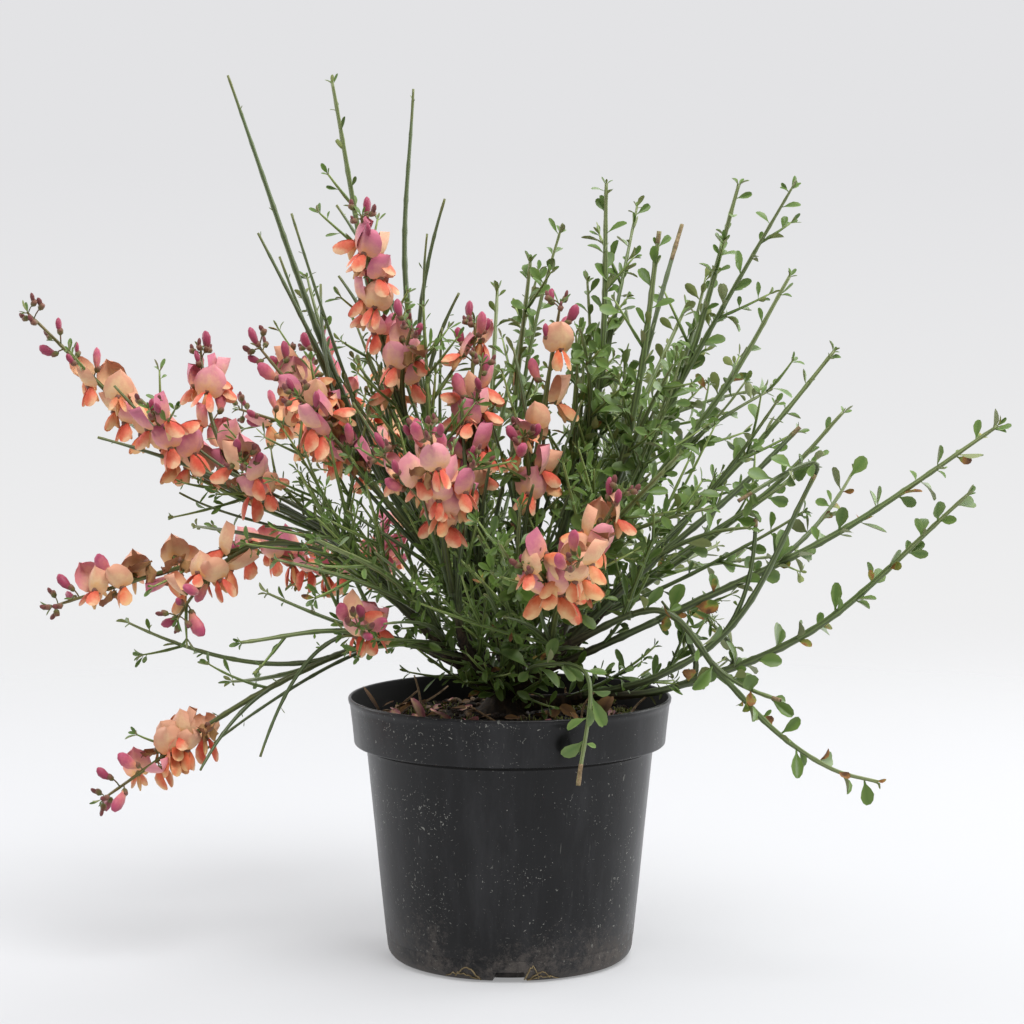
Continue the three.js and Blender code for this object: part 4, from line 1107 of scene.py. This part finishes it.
def fine_roots():
    """Thin roots that have grown out of the drain in front and cling to the foot's round edge."""
    rng = np.random.default_rng(9)
    count = 14
    t = np.linspace(0, 1, count)
    lines = []
    for start, end, rise in ROOTS:
        angle = -math.pi / 2 + start + (end - start) * t
        height = 1.5 + rise * np.sin(math.pi * t) + rng.normal(size=count) * 0.4
        under = FOOT_ROUND - np.clip(height, 0, FOOT_ROUND)
        radius = ROOT_RADIUS - FOOT_ROUND + np.sqrt(FOOT_ROUND**2 - under**2)
        lines.append(np.stack([radius * np.cos(angle), radius * np.sin(angle), height], axis=1))
    return rods(np.array(lines), np.broadcast_to(np.linspace(0.5, 0.26, count), (len(ROOTS), count)), 6)


# Materials. Colours are sRGB hex values, and sizes are in mm. A MapRange takes its value at input 0 and its
# ranges at 1 to 4, and a Mix takes its numbers at 2 and 3 and its colours at 6 and 7.
STEM_IOR, LEAF_IOR, PETAL_IOR = 1.45, 1.42, 1.36


def linear(code):
    """A hex colour as linear red, green, blue and alpha."""
    channels = [int(code[i:i + 2], 16) / 255 for i in (1, 3, 5)]
    return [c / 12.92 if c <= 0.04045 else ((c + 0.055) / 1.055) ** 2.4 for c in channels] + [1.0]


def noise_scale(size):
    """The scale of a noise whose grains are about this many mm wide."""
    return 1 / (size * MM)


def node(tree, kind, inputs=None, out=0, stops=None, **settings):
    """Adds a node and gives the output that out names. Settings are its own properties, stops the (place,
    colour) pairs of its ramp, and inputs gives each input a value, or the output that feeds it."""
    made = tree.nodes.new("ShaderNode" + kind)
    for key, value in settings.items():
        setattr(made, key, value)
    if stops:
        elements = made.color_ramp.elements
        while len(elements) < len(stops):
            elements.new(0.5)
        for element, (place, colour) in zip(elements, stops):
            element.position, element.color = place, linear(colour)
    for key, value in (inputs or {}).items():
        if isinstance(value, bpy.types.NodeSocket):
            tree.links.new(value, made.inputs[key])
        else:
            made.inputs[key].default_value = value
    return made.outputs[out]


def new_material(name, roughness, ior, **constants):
    """A material whose shader has these constants, with its tree and its Object coordinates."""
    made = bpy.data.materials.new(name)
    made.use_nodes = True
    tree = made.node_tree
    shader = tree.nodes["Principled BSDF"]
    for key, value in {"Roughness": roughness, "IOR": ior, **constants}.items():
        shader.inputs[key.replace("_", " ")].default_value = value
    return made, tree, node(tree, "TexCoord", out="Object")


def fed(made, **outputs):
    """The material, with these outputs linked to its shader."""
    shader = made.node_tree.nodes["Principled BSDF"]
    for key, output in outputs.items():
        made.node_tree.links.new(output, shader.inputs[key.replace("_", " ")])
    return made


def fine_relief(tree, place, size, detail, strength, height):
    """A normal bumped by a noise, with grains of a size and a height in mm."""
    noise = node(tree, "TexNoise", {"Vector": place, "Scale": noise_scale(size), "Detail": detail})
    return node(tree, "Bump", {"Height": noise, "Strength": strength, "Distance": height * MM})


def mottled_age(tree, place, size, detail, spread, roughness=0.5):
    """The attribute age, moved up or down by up to the spread by a noise with grains of a size in mm."""
    mottle = node(tree, "TexNoise", {"Vector": place, "Scale": noise_scale(size), "Detail": detail,
                                     "Roughness": roughness})
    shift = node(tree, "MapRange", {0: mottle, 3: -spread, 4: spread})
    age = node(tree, "Attribute", out="Fac", attribute_name="age")
    return node(tree, "Math", {0: age, 1: shift}, operation="ADD")


def coated(tree, below, colour, field, low, high, most):
    """A colour laid over what is below it: by nothing where a field is under low, by the most where it is
    over high. Gives the colour that results, and the share."""
    share = node(tree, "MapRange", {0: field, 1: low, 2: high, 3: 0.0, 4: most})
    inputs = {"Factor": share, 6: below, 7: linear(colour)}
    return node(tree, "Mix", inputs, 2, data_type="RGBA"), share


def pot_polypropylene():
    """Polypropylene, injection moulded with carbon black: near black with a satin gloss that takes the
    light at its edges, dusted and scuffed by handling, with dried peat low down, a dark streak down the front
    that is a painted reflection, and painted shade inside the wall."""
    made, tree, place = new_material("pot_polypropylene_moulded", 0.3, 1.38)
    # Dust lies in clouds some 25 mm wide, drawn out downwards by water. The clouds are shifted 21 mm so that
    # a dark streak runs down the middle of the front: a painted dark reflection.
    streaks = node(tree, "Mapping", {"Vector": place, "Location": (21 * MM, 0, 0), "Scale": (1, 1, 0.2)})
    dust_and_dark_reflection = node(tree, "TexNoise", {"Vector": streaks, "Scale": noise_scale(25), "Detail": 8.0,
                                   "Roughness": 0.66})
    body = node(tree, "ValToRGB", {0: dust_and_dark_reflection}, stops=[(0.34, "#050507"), (0.5, "#121214"), (0.7, "#2b2b2d")])
    # Specks of lime and dust, which are the peaks of a fine noise, lie in patches some 38 mm wide.
    patch = node(tree, "TexNoise", {"Vector": place, "Scale": noise_scale(38.46), "Detail": 4.0})
    near = node(tree, "MapRange", {0: patch, 1: 0.4, 2: 0.68, 3: 0.0, 4: 0.07})
    specks = node(tree, "TexNoise", {"Vector": place, "Scale": noise_scale(1.3158), "Detail": 2.0})
    field = node(tree, "Math", {0: specks, 1: near}, operation="ADD")
    colour, _ = coated(tree, body, "#96968f", field, 0.75, 0.79, 0.9)
    # Chips and short scratches, 1 to 3 mm long and bent every way.
    ticks = node(tree, "TexNoise", {"Vector": place, "Scale": noise_scale(4), "Detail": 3.0,
                                    "Distortion": 2.4})
    field = node(tree, "Math", {0: ticks, 1: near}, operation="ADD")
    colour, _ = coated(tree, colour, "#8f8f88", field, 0.715, 0.75, 0.8)
    # Scuffs: fine slanted lines about 0.4 mm wide and 20 mm long.
    slant = node(tree, "Mapping", {"Vector": place, "Rotation": (0.2, 0.16, 0.2), "Scale": (1, 1, 0.04)})
    lines = node(tree, "TexNoise", {"Vector": slant, "Scale": noise_scale(1.25), "Detail": 1.0})
    colour, _ = coated(tree, colour, "#7c7c76", lines, 0.75, 0.84, 0.4)
    # Dried peat, thickest at the foot and gone 60 mm up.
    height = node(tree, "SeparateXYZ", {0: place}, 2)
    low = node(tree, "MapRange", {0: height, 1: 2 * MM, 2: 75 * MM, 3: 0.27, 4: -0.12})
    heap = node(tree, "Math", {0: near, 1: 1.4}, operation="MULTIPLY")
    lift = node(tree, "Math", {0: low, 1: heap}, operation="ADD")
    clods = node(tree, "TexNoise", {"Vector": place, "Scale": noise_scale(5.2632), "Detail": 12.0,
                                    "Roughness": 0.9})
    field = node(tree, "Math", {0: clods, 1: lift}, operation="ADD")
    colour, dirt = coated(tree, colour, "#67605a", field, 0.7, 0.86, 0.62)
    # The inside of the wall, where the attribute age is 1, is painted near black as shade under the rim, and
    # dulled.
    within = node(tree, "Attribute", out="Fac", attribute_name="age")
    colour = node(tree, "Mix", {"Factor": within, 6: colour, 7: linear("#060504")}, 2, data_type="RGBA")
    gloss = node(tree, "MapRange", {0: dust_and_dark_reflection, 1: 0.3, 2: 0.75, 3: 0.24, 4: 0.44})
    rough = node(tree, "Math", {0: dirt, 1: 0.5}, operation="MULTIPLY")
    whole = node(tree, "Math", {0: gloss, 1: rough}, operation="ADD")
    dull = node(tree, "Mix", {"Factor": within, 2: whole, 3: 0.85}, data_type="FLOAT")
    ripple = fine_relief(tree, place, 3.846, 3.0, 0.1, 0.6)
    return fed(made, Base_Color=colour, Roughness=dull, Normal=ripple)


def earthy(name, tones, grain_size, roughness, strength):
    """A rough, crumbly or fibrous thing of three tones, dark to light, that follow a noise of the given
    grain in mm."""
    made, tree, place = new_material(name, roughness, 1.45)
    noise = node(tree, "TexNoise", {"Vector": place, "Scale": noise_scale(grain_size), "Detail": 7.0,
                                    "Roughness": 0.68})
    colour = node(tree, "ValToRGB", {0: noise}, stops=list(zip((0.32, 0.5, 0.7), tones)))
    crumbs = fine_relief(tree, place, grain_size / 3.2, 5.0, strength, 1.0)
    return fed(made, Base_Color=colour, Normal=crumbs)


def bark():
    """Broom bark: dark brown, fissured along the wood, with grey ridges."""
    made, tree, place = new_material("broom_bark", 0.85, 1.45)
    drawn = node(tree, "Mapping", {"Vector": place, "Scale": (1.0, 1.0, 0.22)})
    noise = node(tree, "TexNoise", {"Vector": drawn, "Scale": noise_scale(3.03), "Detail": 8.0,
                                    "Roughness": 0.7})
    colour = node(tree, "ValToRGB", {0: noise},
                  stops=[(0.3, "#140f0a"), (0.48, "#2c2318"), (0.62, "#463929"), (0.78, "#655745")])
    fissures = node(tree, "Bump", {"Height": noise, "Strength": 0.6, "Distance": 1.2 * MM})
    return fed(made, Base_Color=colour, Normal=fissures)


def green_stem(name, stops, roughness=0.4):
    """The green bark of young broom: waxy, finely striped along the stem by painted highlight on its ridges
    and painted shade in its furrows, and browner at its foot. The attribute age runs from foot to tip."""
    made, tree, place = new_material(name, roughness, STEM_IOR)
    total = mottled_age(tree, place, 5.5556, 5.0, 0.12)
    green = node(tree, "ValToRGB", {0: total}, stops=stops)
    # Painted highlight on the ridges and painted shade in the furrows between them, along the stem.
    furrow = node(tree, "Attribute", out="Fac", attribute_name="furrow")
    depth = node(tree, "MapRange", {0: furrow, 1: 0.15, 2: 0.85, 3: 1.3, 4: 0.6})
    inputs = {"Factor": 1.0, 6: green, 7: depth}
    ridge_lit_furrow_shaded = node(tree, "Mix", inputs, 2, data_type="RGBA", blend_type="MULTIPLY")
    return fed(made, Base_Color=ridge_lit_furrow_shaded, Normal=fine_relief(tree, place, 0.7143, 2.0, 0.25, 0.4))


def leaf_blade(name, green, pale, roughness=0.42):
    """A broom leaflet: a thin waxy cuticle over soft green, a little paler towards its rim, with down on
    it that dulls the gloss."""
    made, tree, place = new_material(name, roughness, LEAF_IOR, Sheen_Weight=0.08)
    total = mottled_age(tree, place, 4.1667, 3.0, 0.5)
    blend = node(tree, "MapRange", {0: total, 1: -0.2, 2: 1.5})
    colour = node(tree, "Mix", {"Factor": blend, 6: linear(green), 7: linear(pale)}, 2, data_type="RGBA")
    return fed(made, Base_Color=colour)


def worn_leaf():
    """A leaf that is dying back: patches some 9 mm wide that run from green through yellow to brown."""
    made, tree, place = new_material("worn_leaf_blade", 0.65, LEAF_IOR)
    patches = node(tree, "TexNoise", {"Vector": place, "Scale": noise_scale(9.091), "Detail": 5.0})
    colour = node(tree, "ValToRGB", {0: patches},
                  stops=[(0.36, "#5c7430"), (0.46, "#8f8f3f"), (0.52, "#9c6c38"), (0.64, "#5e3b22")])
    return fed(made, Base_Color=colour)


def petal(name, throat, middle, rim, roughness=0.55):
    """A pea-flower petal: soft and matt, its colour running from throat to rim, where age is 1, with
    fine veins that stand up a little."""
    made, tree, place = new_material(name, roughness, PETAL_IOR, Sheen_Weight=0.12)
    total = mottled_age(tree, place, 4.7619, 5.0, 0.5, 0.6)
    colour = node(tree, "ValToRGB", {0: total}, stops=[(0.02, throat), (0.36, middle), (0.78, rim)])
    return fed(made, Base_Color=colour, Normal=fine_relief(tree, place, 0.9091, 2.0, 0.3, 0.4))


# Pieces.


def write_mesh(name, mesh, materials):
    """Makes a piece of (points, triangles, age). Where a second material is given, it goes to the under
    side of every leaf blade. The attribute furrow is 1 at every second point, which on ridged rods is the
    one between two ridges."""
    points, faces, age = mesh
    data = bpy.data.meshes.new(name)
    data.vertices.add(len(points))
    data.vertices.foreach_set("co", (points * MM).astype(np.float32).ravel())
    data.loops.add(faces.size)
    data.loops.foreach_set("vertex_index", faces.astype(np.int32).ravel())
    data.polygons.add(len(faces))
    data.polygons.foreach_set("loop_start", np.arange(0, faces.size, 3, dtype=np.int32))
    if len(materials) == 2:
        one_side = 2 * (len(LEAF_ROWS) - 1) * (len(LEAF_ACROSS) - 1)
        under = (np.arange(len(faces)) // one_side) % 2
        data.polygons.foreach_set("material_index", under.astype(np.int32))
    data.polygons.foreach_set("use_smooth", np.ones(len(faces), bool))
    for field, values in (("age", age), ("furrow", np.arange(len(points)) % 2)):
        attribute = data.attributes.new(field, "FLOAT", "POINT")
        attribute.data.foreach_set("value", values.astype(np.float32))
    for material in materials:
        data.materials.append(material)
    data.update(calc_edges=True)
    made = bpy.data.objects.new(name, data)
    bpy.context.scene.collection.objects.link(made)
    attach(made, "root")
    return made


boughs, twigs = grow_crown()

pot = write_mesh("pot_shell", pot_shell(), [pot_polypropylene()])
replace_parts(pot, "pot")

peat = earthy("peat_compost", ("#0b0806", "#1c140e", "#3f3122"), 3.0, 0.95, 0.9)
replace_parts(write_mesh("soil_surface", soil_body(), [peat]), "potting_soil")
crumb = earthy("peat_crumbs", ("#120d09", "#291d14", "#4f3e2b"), 2.0, 0.95, 0.8)
write_mesh("soil_crumbs", soil_crumbs(620, seed=21, size=(2.0, 5.5)), [crumb])
chip = earthy("bark_chips", ("#33271b", "#5c472f", "#8d7553"), 4.0, 0.8, 0.5)
write_mesh("bark_chips", soil_crumbs(60, seed=22, size=(4.0, 9.0)), [chip])
moss_green = leaf_blade("moss_blades", "#4c5620", "#86873a", 0.8)
write_mesh("moss_tufts", moss(44, blades=26), [moss_green])
dry = leaf_blade("dry_leaf_blades", "#5a3d26", "#96703f", 0.75)
dry_leaves = [litter(46, seed=31, size=(8, 16)),
              litter(16, seed=33, size=(9, 15), inner=66, arc=(150, 215)),
              leaning([197, 309], seed=36)]
write_mesh("fallen_leaves", gathered(dry_leaves), [dry])
fallen = petal("fallen_petals", "#e0bf92", "#cf9d86", "#b06c74")
petals = [litter(16, seed=32, size=(9, 15)),
          litter(22, seed=34, size=(14, 20), inner=66, arc=(215, 300)),
          leaning([231, 244, 256], seed=35)]
write_mesh("fallen_petals", gathered(petals), [fallen])
dead_wood = earthy("dead_twig_wood", ("#4e3d28", "#7d664a", "#a89170"), 3.0, 0.85, 0.4)
write_mesh("dead_twigs", dead_twigs(8), [dead_wood])

stock = write_mesh("woody_stock", woody_stock(), [bark()])
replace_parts(stock, "trunk")
limbs = [limb_mesh(line, foot, tip, *BOUGH_FORM) for line, foot, tip in boughs]
bough_green = green_stem("older_green_bark", [(0.0, "#42392a"), (0.3, "#4c4a33"), (0.7, "#525e3b"),
                                              (1.0, "#586541")], 0.6)
bough_nodes = ["bough_of_" + entry[0] for entry in CROWN if entry[3]]
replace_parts(write_mesh("green_boughs", gathered(limbs), [bough_green]), *bough_nodes)

# Stems by what they wear: the dresses, the slot, and the material with its colours from foot to tip.
STEMS = {
    "leafy_stems": (("leafy", "open", "sparse", "sprig"), "leafy_twigs", "leafy_green_stem",
                    [(0.0, "#525e39"), (0.2, "#5a673e"), (0.6, "#677947"), (0.97, "#838e5c")]),
    "blooming_stems": (("bloom",), "blooming_twigs", "blooming_green_stem",
                       [(0.0, "#4e5833"), (0.3, "#596034"), (0.75, "#67703b"), (0.98, "#7e6f41")]),
    "bare_rods": (("rod",), "bare_twigs", "bare_green_rod",
                  [(0.0, "#505a3a"), (0.3, "#576441"), (0.9, "#67764f"), (1.0, "#797e4a")]),
}
for name, (dresses, slot, material, stops) in STEMS.items():
    mine = [twig_mesh(twig) for twig in twigs if twig.dress in dresses and twig.order < 2]
    made = write_mesh(name, gathered(mine), [green_stem(material, stops)])
    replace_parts(made, *[entry[0] for entry in CROWN if entry[5] in dresses])
dry_wood = earthy("dry_cut_wood", ("#5c4c36", "#867051", "#b39c78"), 3.0, 0.8, 0.4)
write_mesh("dry_ends", dry_ends(twigs), [dry_wood])
young = green_stem("young_green_shoot", [(0.0, "#586b37"), (0.5, "#6c8242"), (1.0, "#8fa15a")])
mine = [twig_mesh(twig) for twig in twigs if twig.order == 2 or twig.dress in ("inner", "foot")]
write_mesh("young_shoots", gathered(mine), [young])

# Leaves go to a tone by spray: darker ones in the heart of the crown, an ellipsoid of this centre and these
#  half widths, whose darker colours are painted shade, and middle or light ones outside it. A tone has the
#  colours of a leaf's top, its rim and its under side. Some leaves are worn, more of them on the sparse
#  shoots.
HEART = ([0, 0, 225], [125, 120, 95])
WORN_SHARES = {"sparse": 0.2}
WORN_SHARE = 0.008
LEAF_TONES = {
    "painted_shade": ("#496423", "#667f35", "#768847"),
    "middle": ("#526e2b", "#6c863d", "#879256"),
    "light": ("#5a7a38", "#7d924f", "#90996a"),
}
sprays = {tone: [] for tone in [*LEAF_TONES, "worn"]}
for number, twig in enumerate(twigs):
    rng = np.random.default_rng(9000 + number)
    depth = np.linalg.norm((twig.line.mean(axis=0) - HEART[0]) / HEART[1])
    # Leaves near the heart take the darker tone: painted shade.
    tone = "painted_shade" if depth + rng.uniform(-0.3, 0.3) < 1 else ("middle" if rng.random() < 0.62 else "light")
    tone = "light" if twig.dress == "sprig" else tone
    spray = leaf_spray(twig, rng)
    worn = rng.random(len(spray[0])) < WORN_SHARES.get(twig.dress, WORN_SHARE)
    sprays[tone].append([part[~worn] for part in spray])
    sprays["worn"].append([part[worn] for part in spray])
for tone, found in sprays.items():
    faces = [worn_leaf()]
    if tone in LEAF_TONES:
        top, rim, under = LEAF_TONES[tone]
        faces = [leaf_blade(f"leaf_{tone}_top", top, rim)]
        faces.append(leaf_blade(f"leaf_{tone}_under", under, under, 0.6))
    leaves = leaf_meshes(*[np.concatenate(part) for part in zip(*found)], np.random.default_rng(77))
    write_mesh(f"leaves_{tone}", leaves, faces)

# Petals, stalks and buds: the material of each piece, its colours from throat to rim, and its roughness.
PETALS = {
    "banners_pink": ("banner_petal_pink", "#f6c486", "#f2bba0", "#e1929a"),
    "banners_peach": ("banner_petal_peach", "#f1ba76", "#efc698", "#e2a585"),
    "banners_rose": ("banner_petal_rose", "#efb27e", "#e29a91", "#cb7288"),
    "wings_coral": ("wing_petal_coral", "#d5523d", "#e67c5c", "#f4c298"),
    "wings_peach": ("wing_petal_peach", "#dc6b43", "#e49567", "#edc08a"),
    "keels": ("keel_petal_pale", "#d98d5a", "#e2a06a", "#e6bb83"),
    "stalks": ("flower_stalk_and_calyx", "#5f6a3a", "#6c6437", "#835a49"),
    "closed_blooms": ("closed_petal_pink", "#dc9f71", "#d57b7d", "#b8506d", 0.5),
    "withered_blooms": ("withered_petal_tan", "#9c7242", "#b08455", "#835233", 0.75),
    "buds_rose": ("bud_petal_rose", "#7c4a3a", "#9c4058", "#a6445f", 0.45),
    "buds_brown": ("bud_scale_brown", "#57482f", "#6d4238", "#77403f", 0.6),
}
for name, meshes in grow_blossom(twigs).items():
    write_mesh(name, gathered(meshes), [petal(*PETALS[name])])
root_fibre = earthy("root_fibre", ("#54472f", "#80704f", "#a3916f"), 2.0, 0.8, 0.3)
write_mesh("fine_roots", fine_roots(), [root_fibre])


# Floor, light and camera, in metres. Lamps are soft discs: where each stands, the height that it aims at
# over the pot's foot, its size, and its power in watts.
LAMPS = {
    "key_light": ((0.7, -1.1, 2.6), 0.25, 1.7, 66),
    "left_light": ((-1.6, 0.8, 0.8), 0.25, 1.2, 10),
    "right_light": ((1.5, 0.9, 0.8), 0.25, 1.3, 16),
    "back_light": ((0.3, 1.8, 1.9), 0.3, 1.2, 8),
}
CAMERA_PLACE = (0.0013, -1.7, 0.415)
CAMERA_TILT = 0.089
CAMERA_LENS = 102.4
CAMERA_SENSOR = 36


def stage():
    """A pale floor that fades into the background away from the plant. It glows a little, as paper with
    light all round it does, so that the shadow on it stays faint."""
    bpy.ops.mesh.primitive_plane_add(size=14)
    floor = bpy.context.object
    floor.name = "floor"
    made, tree, place = new_material("floor_paper", 0.8, 1.45, Base_Color=linear("#a9aaac"),
                                     Emission_Color=linear("#f4f4f5"), Emission_Strength=0.31,
                                     Specular_IOR_Level=0.1)
    distance = node(tree, "VectorMath", {0: place}, "Value", operation="LENGTH")
    inputs = {0: distance, 1: 0.45, 2: 1.9, 3: 1.0, 4: 0.0}
    fade = node(tree, "MapRange", inputs, interpolation_type="SMOOTHSTEP")
    floor.data.materials.append(fed(made, Alpha=fade))


def lamp(name, place, height, size, power):
    """A lamp that shines from a round disc at a height over the pot's foot."""
    data = bpy.data.lights.new(name, "AREA")
    data.shape, data.size, data.energy = "DISK", size, power
    made = bpy.data.objects.new(name, data)
    made.location = place
    direction = Vector((0, 0, height)) - Vector(place)
    made.rotation_euler = direction.to_track_quat("-Z", "Y").to_euler()
    bpy.context.scene.collection.objects.link(made)


def room():
    """White paper lights the back and the sides, and a dimmer room the front. Looked at, all of it is
    pale."""
    world = bpy.data.worlds.new("studio")
    bpy.context.scene.world = world
    world.use_nodes = True
    tree = world.node_tree
    background = tree.nodes["Background"]
    direction = node(tree, "TexCoord", out="Generated")
    height = node(tree, "SeparateXYZ", {0: direction}, 2)
    rise = node(tree, "MapRange", {0: height, 1: -0.19, 2: 0.03})
    tones = {"Factor": rise, 6: linear("#f4f4f4"), 7: linear("#e3e3e5")}
    tree.links.new(node(tree, "Mix", tones, 2, data_type="RGBA"), background.inputs[0])
    depth = node(tree, "SeparateXYZ", {0: direction}, 1)
    light = node(tree, "MapRange", {0: depth, 1: -1.0, 2: -0.1, 3: 0.2, 4: 1.05})
    seen = node(tree, "LightPath", out="Is Camera Ray")
    strength = node(tree, "Mix", {"Factor": seen, 2: light, 3: 1.0}, data_type="FLOAT")
    tree.links.new(strength, background.inputs[1])


stage()
for name, lamp_form in LAMPS.items():
    lamp(name, *lamp_form)
room()
bpy.context.scene.view_settings.view_transform = "Standard"

camera_data = bpy.data.cameras.new("camera")
camera_data.sensor_width, camera_data.lens = CAMERA_SENSOR, CAMERA_LENS
camera = bpy.data.objects.new("camera", camera_data)
camera.location = CAMERA_PLACE
camera.rotation_euler = (math.pi / 2 - CAMERA_TILT, 0, 0)
bpy.context.scene.collection.objects.link(camera)
bpy.context.scene.camera = camera
